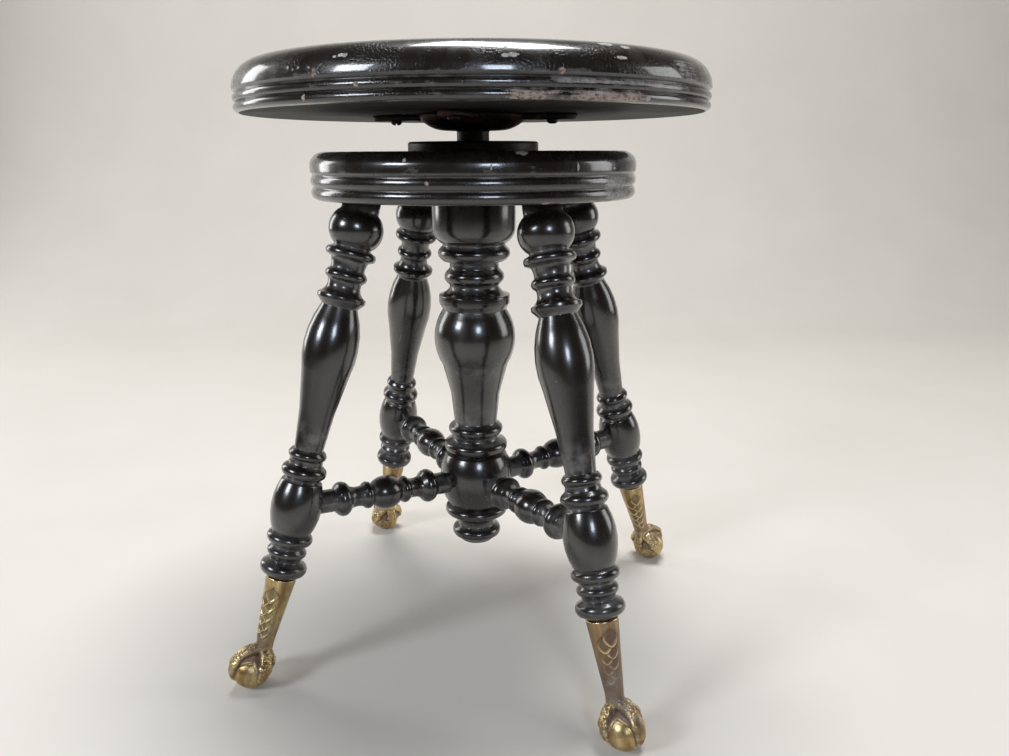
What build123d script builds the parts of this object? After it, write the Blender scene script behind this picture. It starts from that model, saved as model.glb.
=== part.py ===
from build123d import *
import os
from math import cos, radians, sin, sqrt, tan

# A revolving piano stool: a turned seat on a coarse iron screw, a round platform with a nut plate,
# a turned centre post, four splayed turned legs on cast claw-and-ball feet, and four stretchers.
# Millimetres, +Z up, the origin on the floor under the middle of the post.
# The legs stand at 45, 135, 225 and 315 degrees from +X.

# Heights, from the floor up
platform_height = 382.5         # floor to the platform's underside
platform_thickness = 34.0
plate_thickness = 7.0           # iron nut plate on top of the platform
rest_gap = 7.8                  # nut plate to spider hub, the seat close to its lowest
hub_drop = 11.7                 # how far the spider's hub hangs below the seat
seat_thickness = 34.0

# Seat, a 14 inch disc with two beads round its lower edge
seat_radius = 178.0
seat_bead = 6.5                 # height of each bead
seat_groove = 2.5               # depth of the grooves beside the beads
seat_shoulder_in = 17.0         # rounded upper edge, measured inwards
seat_shoulder_down = 18.0       # and downwards

# Platform, a 10 inch disc of the same pattern
platform_radius = 127.0
platform_bead = 8.8
platform_groove = 2.0
platform_shoulder_in = 11.0
platform_shoulder_down = 8.5

# Lift screw, its nut plate and the stop at its foot
screw_radius = 12.7             # a 1 inch screw
screw_length = 138.0            # threaded length under the nut plate's top
screw_pitch = 6.35              # four threads to the inch
screw_clearance = 0.05          # running fit in the nut
tenon_radius = 9.0              # screw's top, riveted in the spider's hub
plate_radius = 51.0
plate_edge = 1.2                # rounded corner of the nut plate
boss_radius = 20.0              # the nut plate's boss, let into the platform
boss_length = 16.0
stem_radius = 6.0               # plain stem under the thread
stem_length = 10.0
washer_radius = 14.1            # stop washer, wider than the nut's bore
washer_thickness = 3.0
washer_play = 0.2               # above and below the washer
pin_radius = 1.75               # cross pin that holds the washer
pin_length = 22.0
stop_gap = 0.5                  # left at both ends of the travel

# Seat spider, the iron star under the seat
spider_turn = 2.5               # degrees that the star stands turned from the axes
spider_reach = 81.0             # centre to an arm's end
spider_arm_thickness = 4.0
spider_arm_root = 30.0          # arm's width at the hub
spider_arm_end = 18.0           # and at its rounded end
hub_radius = 21.7               # lower face of the hub
hub_flare = 40.0                # where the hub runs out into the arms

# Wood screws
spider_screw_circle = 62.0
nut_screw_circle = 36.0
nut_screw_count = 3
screw_head_radius = 4.6
round_head_height = 3.0
shank_radius = 2.2
shank_length = 18.0
screw_hole_gap = 0.15           # around a shank, in iron and in wood

# Centre post, turned, bored for the screw
post_radius = 33.8              # cylinder at its top
post_tenon_radius = 24.0
post_tenon_length = 14.0
post_belly_radius = 33.2        # the vase
post_bore_radius = 14.5
post_bore_spare = 2.7           # under the lowest place of the screw's stem
post_foot = 80.7                # floor to the tip of the finial
post_hub_height = 141.5         # middle of the barrel that the stretchers enter
post_hub_radius = 32.2
post_hub_length = 47.0

# Legs, turned, splayed
leg_count = 4
leg_first_turn = 45.0
leg_circle = 95.3               # leg's axis at the platform's underside
leg_splay = 16.9                # degrees from upright
leg_tenon_radius = 9.5
leg_tenon_length = 24.0
leg_collar_radius = 14.0
leg_ball_radius = 20.5
leg_belly_radius = 20.7
leg_ankle_radius = 11.3         # slimmest place under the vase
leg_barrel_radius = 20.1
leg_barrel_length = 43.0
leg_end_radius = 12.2           # same as the brass sleeve's rim
leg_peg_radius = 7.0            # peg in the foot's socket
leg_peg_length = 20.0

# Stretchers, turned, rising a little from the post to the legs
stretcher_low = 139.3           # height of a stretcher's axis at the post's axis
stretcher_high = 150.6          # and where it crosses the leg's axis
stretcher_end_radius = 9.5
stretcher_ball_radius = 14.2
stretcher_bead_radius = 14.4
stretcher_ring_radius = 11.4
stretcher_neck_radius = 8.3
stretcher_post_depth = 17.0     # how deep its ends go into the post
stretcher_leg_depth = 17.0      # and into the leg

# Claw-and-ball feet, cast in one
foot_height = 93.3              # floor to the middle of the sleeve's rim
ankle_height = 37.4
sleeve_end_radius = 7.0         # at the ankle
sleeve_lean = 2.0               # how far the ankle lies outward of the leg's line
sleeve_root = 11.0              # how far the sleeve runs on into the claw
ball_radius = 15.3
ball_height = 15.0              # centre above the floor, which leaves a small flat
ball_reach = 15.5               # ball's centre, outward of the ankle
claw_facing = -80.0             # degrees from +X; the four castings all face one side
talon_count = 4
talon_tip_drop = 12.0           # degrees that a talon's tip lies below the ball's middle
talon_sink = 1.5                # how deep a talon is rooted in the ball
web_thickness = 1.3             # skin between the talons, over the upper side of the ball
web_spread = 48.0               # degrees that it reaches down from the ankle
# A talon's knuckles: share of the way from ankle to tip, width, thickness with the root
talon_knuckles = (
    (0.0, 9.5, 9.5),
    (0.22, 9.5, 8.2),
    (0.36, 9.5, 6.2),
    (0.54, 10.5, 5.6),
    (0.76, 8.0, 3.8),
    (1.0, 2.5, 1.8),
)

glue_gap = 0.1                  # around tenons and pegs
end_gap = 1.0                   # past the end of a tenon, a peg or a screw

# Places that follow
platform_top = platform_height + platform_thickness
plate_top = platform_top + plate_thickness
hub_bottom = plate_top + rest_gap
seat_bottom = hub_bottom + hub_drop
seat_top_height = seat_bottom + seat_thickness
boss_bottom = platform_top - boss_length
thread_end = plate_top - screw_length
stem_end = thread_end - stem_length
washer_top = thread_end - washer_play
travel_up = boss_bottom - stop_gap - washer_top
travel_down = rest_gap - stop_gap
splay = radians(leg_splay)
leg_length = (platform_height - foot_height) / cos(splay)
ankle_radius = leg_circle + (platform_height - ankle_height) * tan(splay)
barrel_drop = (platform_height - stretcher_high) / cos(splay)
barrel_reach = leg_circle + barrel_drop * sin(splay)
stretcher_slope = (stretcher_high - stretcher_low) / barrel_reach


def spin(*points):
    """The solid of a lathe outline, from one point on the Z axis to another.

    Each point is (radius, height). A point in a list is the middle of an arc between its neighbours.
    """
    edges = []
    start = points[0]
    middle = None
    for point in points[1:]:
        if isinstance(point, list):
            middle = point
            continue
        places = [(radius, 0, height) for radius, height in (start, middle or point, point)]
        edges.append(ThreePointArc(*places) if middle else Line(places[0], places[2]))
        start = point
        middle = None
    edges.append(Line(edges[-1] @ 1, edges[0] @ 0))
    return revolve(make_face(edges), Axis.Z)


def bead(height, radius, width, neck):
    """Outline points of a turned bead with a round crown, downwards from neck to neck."""
    brow = radius - width * 0.12
    return [
        (neck, height + width / 2),
        (brow, height + width * 0.3),
        [radius, height],
        (brow, height - width * 0.3),
        (neck, height - width / 2),
    ]


def rod(radius, bottom, top):
    """An upright cylinder on the Z axis between two heights."""
    return Pos(0, 0, bottom) * Cylinder(radius, top - bottom, align=(Align.CENTER, Align.CENTER, Align.MIN))


def leg_place(turn):
    """The frame of a leg: origin at the platform's underside, -Z down the leg, +X outward."""
    return Rot(0, 0, turn) * Pos(leg_circle, 0, platform_height) * Rot(0, -leg_splay, 0)


def turns(count, first):
    """Angles of a number of equal steps round the Z axis."""
    return [first + step * 360 / count for step in range(count)]


def moulded_disc(radius, thickness, bead_height, groove, shoulder_in, shoulder_down):
    """A turned disc on Z = 0 with two beads round its lower edge and a rounded upper edge."""
    inner = radius - groove
    return spin(
        (0, 0),
        (inner, 0),
        [radius, bead_height / 2],
        (inner, bead_height),
        [radius, bead_height * 1.5],
        (inner, bead_height * 2),
        (radius, bead_height * 2 + groove),
        (radius, thickness - shoulder_down),
        [radius - shoulder_in * 0.32, thickness - shoulder_down * 0.32],
        (radius - shoulder_in, thickness),
        (0, thickness),
    )


def wood_screw(head):
    """A wood screw's shank above Z = 0, fused to a head, its axis along Z."""
    return head + rod(shank_radius, 0, shank_length)


def spider_screw_places():
    return [
        Rot(0, 0, turn) * Pos(spider_screw_circle, 0, seat_bottom - spider_arm_thickness)
        for turn in turns(4, spider_turn)
    ]


def nut_screw_places():
    return [
        Rot(0, 0, turn) * Pos(nut_screw_circle, 0, plate_top) * Rot(180, 0, 0)
        for turn in turns(nut_screw_count, 90)
    ]


def screw_holes(places):
    """What wood screws leave in what they pass through."""
    hole = rod(shank_radius + screw_hole_gap, -end_gap, shank_length + end_gap)
    return [place * hole for place in places]


def seat():
    """The seat's disc, with pilot holes for the spider's screws."""
    disc = moulded_disc(
        seat_radius, seat_thickness, seat_bead, seat_groove, seat_shoulder_in, seat_shoulder_down
    )
    return Pos(0, 0, seat_bottom) * disc - screw_holes(spider_screw_places())


def spider_arm():
    """One flat arm of the spider along +X, narrowing to a rounded end."""
    end = spider_reach - spider_arm_end / 2
    strip = make_face(Polyline(
        (0, -spider_arm_root / 2),
        (end, -spider_arm_end / 2),
        (end, spider_arm_end / 2),
        (0, spider_arm_root / 2),
        (0, -spider_arm_root / 2),
    ))
    return extrude(strip + Pos(end, 0) * Circle(spider_arm_end / 2), spider_arm_thickness)


def seat_spider():
    """The iron star: four arms and a hub that flares down to the lift screw."""
    arms_bottom = seat_bottom - spider_arm_thickness
    hub = spin(
        (0, seat_bottom),
        (hub_flare, seat_bottom),
        (hub_flare, arms_bottom),
        [(hub_flare + hub_radius) / 2 + 1.5, (arms_bottom + hub_bottom) / 2 - 1],
        (hub_radius, hub_bottom),
        (0, hub_bottom),
    )
    arms = [Rot(0, 0, turn) * Pos(0, 0, arms_bottom) * spider_arm() for turn in turns(4, spider_turn)]
    bore = rod(tenon_radius + glue_gap, hub_bottom - 1, seat_bottom + 1)
    return hub + arms - bore - screw_holes(spider_screw_places())


def spider_screws():
    """Four round-headed wood screws, their heads under the spider's arms."""
    crown = screw_head_radius * 0.3
    head = spin(
        (0, 0),
        (screw_head_radius, 0),
        [screw_head_radius * 0.8, -round_head_height * 0.7],
        (crown, -round_head_height),
        (0, -round_head_height),
    )
    screw = wood_screw(head)
    return [place * screw for place in spider_screw_places()]


def lift_screw():
    """The screw without its thread: riveted tenon, threaded length, stem for the stop washer."""
    tenon = rod(tenon_radius, hub_bottom, seat_bottom - glue_gap)
    thread = rod(screw_radius, thread_end, hub_bottom)
    stem = rod(stem_radius, stem_end, thread_end)
    return tenon + thread + stem - pin_bore(pin_radius + screw_clearance)


def pin_height():
    """Height of the cross pin, just under the washer."""
    return washer_top - washer_thickness - washer_play - pin_radius


def pin_bore(radius):
    """A cross bore or pin through the stem, along X."""
    return Pos(0, 0, pin_height()) * Rot(0, 90, 0) * Cylinder(radius, pin_length)


def stop_washer():
    """The loose washer that meets the nut's boss when the seat is highest."""
    ring = rod(washer_radius, washer_top - washer_thickness, washer_top)
    return ring - rod(stem_radius + screw_clearance, stem_end, thread_end)


def nut_plate():
    """The iron plate on the platform, with the threaded boss let into the wood."""
    plate = rod(plate_radius, platform_top, plate_top)
    plate = chamfer(plate.edges().group_by(Axis.Z)[-1], plate_edge)
    boss = rod(boss_radius, boss_bottom, platform_top)
    bore = rod(screw_radius + screw_clearance, boss_bottom - 1, plate_top + 1)
    sinks = [place * countersink(screw_hole_gap) for place in nut_screw_places()]
    return plate + boss - bore - sinks - screw_holes(nut_screw_places())


def countersink(gap):
    """A flush wood-screw head, or with a gap the hole that holds it, its face at Z = 0."""
    depth = screw_head_radius - shank_radius
    return Pos(0, 0, depth / 2) * Cone(screw_head_radius + gap, shank_radius + gap, depth)


def nut_plate_screws():
    """The flush screws that hold the nut plate down."""
    screw = wood_screw(countersink(0))
    return [place * screw for place in nut_screw_places()]


def platform():
    """The round platform: nut plate above, post and legs let in below."""
    disc = moulded_disc(
        platform_radius, platform_thickness, platform_bead, platform_groove,
        platform_shoulder_in, platform_shoulder_down,
    )
    boss_hole = rod(boss_radius + glue_gap, platform_height - 1, platform_top + 1)
    tenon_hole = rod(
        post_tenon_radius + glue_gap, platform_height - 1, platform_height + post_tenon_length + end_gap
    )
    leg_hole = rod(leg_tenon_radius + glue_gap, -leg_tenon_radius, leg_tenon_length + end_gap)
    leg_holes = [leg_place(turn) * leg_hole for turn in turns(leg_count, leg_first_turn)]
    placed = Pos(0, 0, platform_height) * disc
    return placed - boss_hole - tenon_hole - leg_holes - screw_holes(nut_screw_places())


def center_post():
    """The turned post: top cylinder, ring, bead, flange, vase, barrel for the stretchers, finial."""
    top = platform_height
    hub = post_hub_height
    half = post_hub_length / 2
    vase_top = top - 89.5
    vase_foot = hub + 53
    vase = vase_top - vase_foot
    turned = spin(
        (0, top),
        (post_radius, top),
        (post_radius, top - 24.5),
        [post_radius - 2.4, top - 31.5],
        (25.7, top - 36.5),
        *bead(top - 44, 29.6, 12, 25.7),
        (20.0, top - 52),
        *bead(top - 63, 24.7, 14, 20.3),
        (20.5, top - 71.5),
        [24.0, top - 75.5],
        (29.4, top - 77.5),
        (29.4, top - 84.5),
        (26.4, vase_top),
        [post_belly_radius, vase_top - vase * 0.16],
        (28.0, vase_top - vase * 0.48),
        [20.6, vase_foot + vase * 0.23],
        (18.5, vase_foot),
        *bead(hub + 46, 23.7, 11, 19.5),
        *bead(hub + 31, 27.8, 12, 20.5),
        (26.5, hub + half),
        [post_hub_radius, hub],
        (25.5, hub - half),
        *bead(hub - 30.5, 28.0, 11, 20.0),
        [16.8, hub - 41],
        *bead(hub - 52, 21.9, 12, 16.5),
        (14.8, post_foot),
        (0, post_foot),
    )
    tenon = rod(post_tenon_radius, top, top + post_tenon_length)
    bore = rod(post_bore_radius, stem_end - travel_down - post_bore_spare, top + post_tenon_length + 1)
    sockets = [place * stretcher_socket() for place in stretcher_places()]
    return turned + tenon - bore - sockets


def leg_turning():
    """The leg's solid in its own frame, from inside the platform down to the brass sleeve."""
    low = -leg_length
    barrel = -barrel_drop
    half = leg_barrel_length / 2
    vase_top = -80
    vase_foot = barrel + 48
    vase = vase_top - vase_foot
    return spin(
        (0, 6),
        (leg_collar_radius, 6),
        (leg_collar_radius, -8.5),
        [leg_ball_radius, -21.6],
        (leg_collar_radius, -34.7),
        *bead(-40.2, 19.0, 9, 14.0),
        [13.0, -48.5],
        *bead(-56.5, 15.9, 9, 12.8),
        (12.5, -64),
        [14.4, -69],
        (18.4, -71.8),
        (18.4, -75),
        (13.8, vase_top),
        [leg_belly_radius, vase_top - vase * 0.22],
        (18.6, vase_top - vase * 0.455),
        [13.6, vase_foot + vase * 0.25],
        (leg_ankle_radius, vase_foot),
        *bead(barrel + 43.5, 15.0, 8, 13.0),
        *bead(barrel + 29.8, 17.8, 12, 13.5),
        (16.0, barrel + half),
        [leg_barrel_radius, barrel],
        (15.5, barrel - half),
        *bead(low + 33.4, 18.2, 11, 13.5),
        *bead(low + 21.7, 15.7, 9, 13.0),
        *bead(low + 7.8, 18.7, 14, 12.4),
        (leg_end_radius, low),
        (0, low),
    )


def leg(turn):
    """A leg, cut off level under the platform, with its tenon, its peg and the stretcher's socket."""
    place = leg_place(turn)
    above = rod(platform_radius * 2, platform_height, platform_top)
    tenon = rod(leg_tenon_radius, -5, leg_tenon_length)
    peg = rod(leg_peg_radius, -leg_length - leg_peg_length, -leg_length)
    turned = place * leg_turning() - above
    return turned + place * tenon + place * peg - stretcher_place(turn) * stretcher_socket()


def stretcher_place(turn):
    """The frame of a stretcher: origin on the post's axis, +Z along the stretcher to the leg."""
    rise = Vector(1, 0, stretcher_slope)
    return Rot(0, 0, turn) * Plane(origin=(0, 0, stretcher_low), x_dir=(0, 1, 0), z_dir=rise).location


def stretcher_places():
    return [stretcher_place(turn) for turn in turns(leg_count, leg_first_turn)]


def stretcher_ends():
    """Distances from the post's axis to a stretcher's two ends, inside the post and the leg."""
    run = barrel_reach * sqrt(1 + stretcher_slope ** 2)
    return post_hub_radius - stretcher_post_depth, run - leg_barrel_radius + stretcher_leg_depth


def stretcher_socket():
    """The round sockets at both ends of a stretcher, as one cutter with a gap in its middle."""
    start, end = stretcher_ends()
    radius = stretcher_end_radius + glue_gap
    inner = rod(radius, start - end_gap, post_hub_radius + 8)
    outer = rod(radius, end - stretcher_leg_depth - 8, end + end_gap)
    return inner + outer


def stretcher(turn):
    """A stretcher: a ball between rings in its middle, a bead towards each end."""
    start, end = stretcher_ends()
    middle = (post_hub_radius + end - stretcher_leg_depth) / 2
    turned = spin(
        (0, end),
        (stretcher_end_radius, end),
        *bead(middle + 39, stretcher_bead_radius, 14, stretcher_end_radius),
        [stretcher_neck_radius, middle + 27],
        *bead(middle + 17, stretcher_ring_radius, 9, stretcher_neck_radius + 0.5),
        [stretcher_ball_radius, middle],
        *bead(middle - 17, stretcher_ring_radius, 9, stretcher_neck_radius + 0.5),
        [stretcher_neck_radius, middle - 27],
        *bead(middle - 39, stretcher_bead_radius, 14, stretcher_end_radius),
        (stretcher_end_radius, start),
        (0, start),
    )
    return stretcher_place(turn) * turned


def ball():
    """The ball under a claw, with the small flat that it stands on."""
    flat = sqrt(ball_radius ** 2 - ball_height ** 2)
    return spin((0, -ball_height), (flat, -ball_height), [ball_radius, 0], (0, ball_radius))


def web(ankle):
    """The skin between the talons: a cap on the ball, its middle towards the ankle."""
    radius = ball_radius + web_thickness
    edge = radians(web_spread)
    cap = spin(
        (0, radius * cos(edge)),
        (radius * sin(edge), radius * cos(edge)),
        [radius * sin(edge / 2), radius * cos(edge / 2)],
        (0, radius),
    )
    return Plane(origin=(0, 0, 0), z_dir=ankle).location * cap


def talon(ankle, spread):
    """A knuckled talon on the ball, from the ankle to a tip at a spread from the outward way."""
    tip_drop = radians(talon_tip_drop)
    tip_turn = radians(spread)
    tip = Vector(cos(tip_drop) * cos(tip_turn), cos(tip_drop) * sin(tip_turn), -sin(tip_drop))
    side = ankle.cross(tip).normalized()
    reach = ankle.get_angle(tip)
    sections = []
    for share, width, height in talon_knuckles:
        outward = ankle.rotate(Axis((0, 0, 0), side), share * reach)
        centre = outward * (ball_radius - talon_sink + height / 2)
        along = side.cross(outward)
        sections.append(Plane(origin=centre, x_dir=side, z_dir=along) * Rectangle(width, height))
    return loft(sections, ruled=True)


def claw_foot(turn):
    """A cast foot: sleeve with a socket for the leg's peg, ball, and four talons that grip it."""
    place = leg_place(turn)
    sleeve_length = (foot_height - ankle_height) / cos(splay)
    rim = Pos(0, 0, -leg_length) * Circle(leg_end_radius)
    ankle = Pos(sleeve_lean, 0, -leg_length - sleeve_length) * Circle(sleeve_end_radius)
    root = Pos(sleeve_lean * 1.2, 0, -leg_length - sleeve_length - sleeve_root) * Circle(sleeve_end_radius)
    sleeve = loft([rim, ankle], ruled=True) + loft([ankle, root], ruled=True)
    socket = rod(leg_peg_radius + glue_gap, -leg_length - leg_peg_length - end_gap, -leg_length + 1)
    ball_place = Rot(0, 0, turn) * Pos(ankle_radius + ball_reach, 0, ball_height)
    ankle_way = Vector(-ball_reach, 0, ankle_height - ball_height).normalized()
    first_talon = claw_facing + 180 / talon_count - turn
    talons = [talon(ankle_way, spread) for spread in turns(talon_count, first_talon)]
    claw = ball() + web(ankle_way) + talons
    return place * sleeve + ball_place * claw - place * socket


def save(name, shape):
    """Write one sub-part; a list of solids becomes one group."""
    os.makedirs("parts", exist_ok=True)
    solids = shape if isinstance(shape, list) else [shape]
    group = Compound(children=[solid for piece in solids for solid in piece.solids()])
    group.label = name
    export_step(group, f"parts/{name}.step")


corner_names = ("back_right", "back_left", "front_left", "front_right")
save("seat_top", seat())
save("seat_spider", seat_spider())
save("spider_screws", spider_screws())
save("lift_screw", lift_screw())
save("stop_washer", stop_washer())
save("stop_pin", pin_bore(pin_radius))
save("nut_plate", nut_plate())
save("nut_plate_screws", nut_plate_screws())
save("platform", platform())
save("center_post", center_post())
for corner, turn in zip(corner_names, turns(leg_count, leg_first_turn)):
    save(f"leg_{corner}", leg(turn))
    save(f"stretcher_{corner}", stretcher(turn))
    save(f"claw_foot_{corner}", claw_foot(turn))

print("seat height", round(seat_top_height, 1))
print("seat travel up", round(travel_up, 1), "down", round(travel_down, 1))
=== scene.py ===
# %% [markdown]
# # A revolving piano stool, dressed for its picture
# The stool is an American kind of about 1890 to 1910. Its turned parts are ebonised, which means
# stained black and varnished until they look like ebony. Four claw-and-ball feet are cast in brass,
# and the seat rises and falls on a coarse iron screw. The construction already exists as a packed
# model. This script loads it as a fixed frame and then makes the surfaces that a buyer would see.

import math

import bmesh
import bpy
from mathutils import Matrix, Vector, noise


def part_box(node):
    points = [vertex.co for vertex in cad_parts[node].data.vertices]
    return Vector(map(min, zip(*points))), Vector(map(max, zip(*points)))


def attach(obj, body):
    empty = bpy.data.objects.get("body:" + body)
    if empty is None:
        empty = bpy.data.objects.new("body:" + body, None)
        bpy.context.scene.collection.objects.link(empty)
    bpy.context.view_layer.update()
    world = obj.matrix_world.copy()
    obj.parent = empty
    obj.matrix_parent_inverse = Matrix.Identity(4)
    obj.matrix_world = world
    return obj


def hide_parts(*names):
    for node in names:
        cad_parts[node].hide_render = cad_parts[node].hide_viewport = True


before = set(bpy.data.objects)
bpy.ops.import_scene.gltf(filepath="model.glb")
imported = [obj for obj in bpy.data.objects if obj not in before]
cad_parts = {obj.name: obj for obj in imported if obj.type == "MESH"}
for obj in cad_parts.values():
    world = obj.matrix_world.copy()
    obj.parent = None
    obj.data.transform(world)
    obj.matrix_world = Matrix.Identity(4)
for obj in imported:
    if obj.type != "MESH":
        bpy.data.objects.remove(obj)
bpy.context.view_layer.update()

# %% [markdown]
# ## Small helpers for objects
# Sizes are written in millimetres, as on a drawing, and `mm` turns them into Blender's metres. A few
# steps come back for every piece: a turn, a move, faces turned outward, a form made into a mesh and
# an object linked into the scene.

# %% Object helpers
mm = 0.001


def rotation(degrees, axis="Z"):
    """A turn about an axis through the origin."""
    return Matrix.Rotation(math.radians(degrees), 4, axis)


def shift(x, y, z):
    """A move, given in millimetres."""
    return Matrix.Translation((x * mm, y * mm, z * mm))


def face_out(form):
    """Turns every face of a closed form outward."""
    bmesh.ops.recalc_face_normals(form, faces=form.faces)


def mesh_of(form, name):
    """Makes a mesh of a form, and lets the form go."""
    mesh = bpy.data.meshes.new(name)
    form.to_mesh(mesh)
    form.free()
    return mesh


def in_scene(name, data):
    """Makes an object and links it into the scene."""
    made = bpy.data.objects.new(name, data)
    bpy.context.scene.collection.objects.link(made)
    return made


print("one turn of 90 degrees takes X to", rotation(90) @ Vector((1, 0, 0)))

# %% [markdown]
# ## The camera
# The picture was taken from a little below the seat's height, looking down by about twenty degrees,
# so the underside of the seat and the tops of the feet both show. The camera stands at the place
# that was worked out from the stool's round edges, and a small shift puts the stool in the frame as
# it is in the picture. A shift keeps the view's direction, which turning the camera would not do.

# %% Camera
camera_place = Vector((0.17288, -0.64158, 0.41476))
camera_heading = 14.26
camera_dip = 19.71
camera_tilt = -0.26

eye = bpy.data.cameras.new("camera")
eye.sensor_width = 36
eye.lens = 28.37
eye.shift_x = 0.0177
eye.shift_y = 0.0599
camera = in_scene("camera", eye)
aim = rotation(camera_heading) @ rotation(90 - camera_dip, "X") @ rotation(camera_tilt)
camera.matrix_world = Matrix.Translation(camera_place) @ aim
bpy.context.scene.camera = camera
bpy.context.scene.view_settings.view_transform = "Standard"
print("camera stands", round(camera_place.length, 2), "m from the foot of the post")

# %% [markdown]
# ## Small helpers for materials
# Every finish here is made of Blender's own noise patterns, because a picture file would tie the
# stool to one view and one size. Short helpers keep the node trees readable: `add` makes a node and
# links or sets what it is given, `grain` is cloudy noise, `fade` turns it into a mask with soft
# edges, `mix` lays one colour over another by a mask, and `material` starts a Principled shader.
# A pattern needs a place to read. Most read the object's own coordinates. What follows a turning
# reads a place that was written on the piece while it still stood upright on the lathe.


# %% Node helpers
def add(tree, kind, inputs=None, **settings):
    """Adds a node. An input that is given a socket is linked, any other value is set."""
    made = tree.nodes.new("ShaderNode" + kind)
    for name, value in settings.items():
        setattr(made, name, value)
    for name, value in (inputs or {}).items():
        if isinstance(value, bpy.types.NodeSocket):
            tree.links.new(value, made.inputs[name])
        else:
            made.inputs[name].default_value = value
    return made


def calc(tree, operation, first, second=0.0):
    """One sum on two values."""
    return add(tree, "Math", {0: first, 1: second}, operation=operation).outputs[0]


def plus(tree, first, second):
    return calc(tree, "ADD", first, second)


def times(tree, first, second):
    return calc(tree, "MULTIPLY", first, second)


def larger(tree, first, second):
    return calc(tree, "MAXIMUM", first, second)


def rest_of(tree, value):
    """What is left of 1."""
    return calc(tree, "SUBTRACT", 1.0, value)


def fade(tree, value, low, high):
    """0 up to low, 1 from high on, and a smooth change between."""
    inputs = {"Value": value, "From Min": low, "From Max": high}
    return add(tree, "MapRange", inputs, interpolation_type="SMOOTHSTEP").outputs["Result"]


def mix(tree, share, first, second):
    """A colour between two, by share."""
    return add(tree, "Mix", {0: share, 6: first, 7: second}, data_type="RGBA").outputs[2]


def laid_over(tree, colour, layers):
    """Lays tint after tint over a colour, each by its mask and its strength."""
    for mask, strength, tint in layers:
        colour = mix(tree, times(tree, mask, strength), colour, tint)
    return colour


def grain(tree, place, scale, detail=3.0, roughness=0.5):
    """Cloudy noise, about 0 to 1."""
    inputs = {"Vector": place, "Scale": scale, "Detail": detail, "Roughness": roughness}
    return add(tree, "TexNoise", inputs).outputs["Fac"]


def stretched(tree, place, scale):
    """A place made longer or shorter along X, Y and Z, which draws a pattern out into streaks."""
    return add(tree, "Mapping", {"Vector": place, "Scale": scale}).outputs["Vector"]


def object_place(tree):
    return add(tree, "TexCoord").outputs["Object"]


def own_value(tree, name):
    """A value that was written on the piece's points when it was made."""
    return add(tree, "Attribute", attribute_name=name).outputs["Fac"]


def own_place(tree):
    """The place in the piece's own frame, with Z along the axis that it was turned on."""
    return add(tree, "Attribute", attribute_name="on_the_lathe").outputs["Vector"]


def height_of(tree, place):
    """How high a place lies above the floor, in metres."""
    return add(tree, "SeparateXYZ", {0: place}).outputs["Z"]


def radius_of(tree, place):
    """How far a place is from the stool's middle line."""
    parts = add(tree, "SeparateXYZ", {0: place}).outputs
    squares = [times(tree, parts[axis], parts[axis]) for axis in "XY"]
    return calc(tree, "POWER", plus(tree, *squares), 0.5)


def unrolled(tree, place):
    """A place on a turned piece as if its side were rolled out flat: along, out and up."""
    parts = add(tree, "SeparateXYZ", {0: place}).outputs
    bearing = calc(tree, "ARCTAN2", parts["Y"], parts["X"])
    inputs = {"X": times(tree, bearing, 0.1), "Y": radius_of(tree, place), "Z": parts["Z"]}
    return add(tree, "CombineXYZ", inputs).outputs[0]


def material(name, **values):
    """A material, its tree and its Principled shader, with plain values set on the sockets."""
    made = bpy.data.materials.new(name)
    made.use_nodes = True
    shader = made.node_tree.nodes["Principled BSDF"]
    for socket, value in values.items():
        shader.inputs[socket.replace("_", " ")].default_value = value
    return made, made.node_tree, shader


def bump(tree, shader, height, strength, distance):
    """Small relief that is too fine to model."""
    inputs = {"Height": height, "Strength": strength, "Distance": distance}
    tree.links.new(add(tree, "Bump", inputs).outputs["Normal"], shader.inputs["Normal"])


def group(name, inputs, output):
    """Starts a shared effect: a node group with named inputs and one output."""
    tree = bpy.data.node_groups.new(name, "ShaderNodeTree")
    for socket, kind in inputs.items():
        tree.interface.new_socket(socket, in_out="INPUT", socket_type="NodeSocket" + kind)
    tree.interface.new_socket(output, in_out="OUTPUT", socket_type="NodeSocketFloat")
    given = tree.nodes.new("NodeGroupInput").outputs
    result = tree.nodes.new("NodeGroupOutput").inputs[output]
    return tree, given, result


def use(tree, effect, inputs):
    """Places a shared effect in a material and gives its output."""
    return add(tree, "Group", inputs, node_tree=effect).outputs[0]


print("helpers ready")

# %% [markdown]
# ## The studio
# A plain pale floor runs up into a plain backdrop, with five soft lamps round the stool. Gloss
# black shows only what it reflects, so the lamps' size and place matter more than their strength.
# A wide one overhead draws the line along the seat's shoulder. Two in front, tinted like daylight
# from windows, put the pair of bluish lights on every turning. Two tall ones behind edge the legs.
# The room in front stays dim and warm, because a bright one would turn the black grey.

# %% Floor, backdrop and lamps
floor_reach = 3.0
sweep_start = 1.2
sweep_radius = 0.6
sweep_steps = 12
lamp_aim = Vector((0, 0, 0.25))
daylight = (0.86, 0.92, 1.0)
bluer_daylight = (0.72, 0.83, 1.0)
floor_tones = ((0.68, 0.645, 0.59, 1), (0.74, 0.71, 0.66, 1))
room_tone = (0.30, 0.25, 0.21, 1)
room_strength = 0.2


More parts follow.
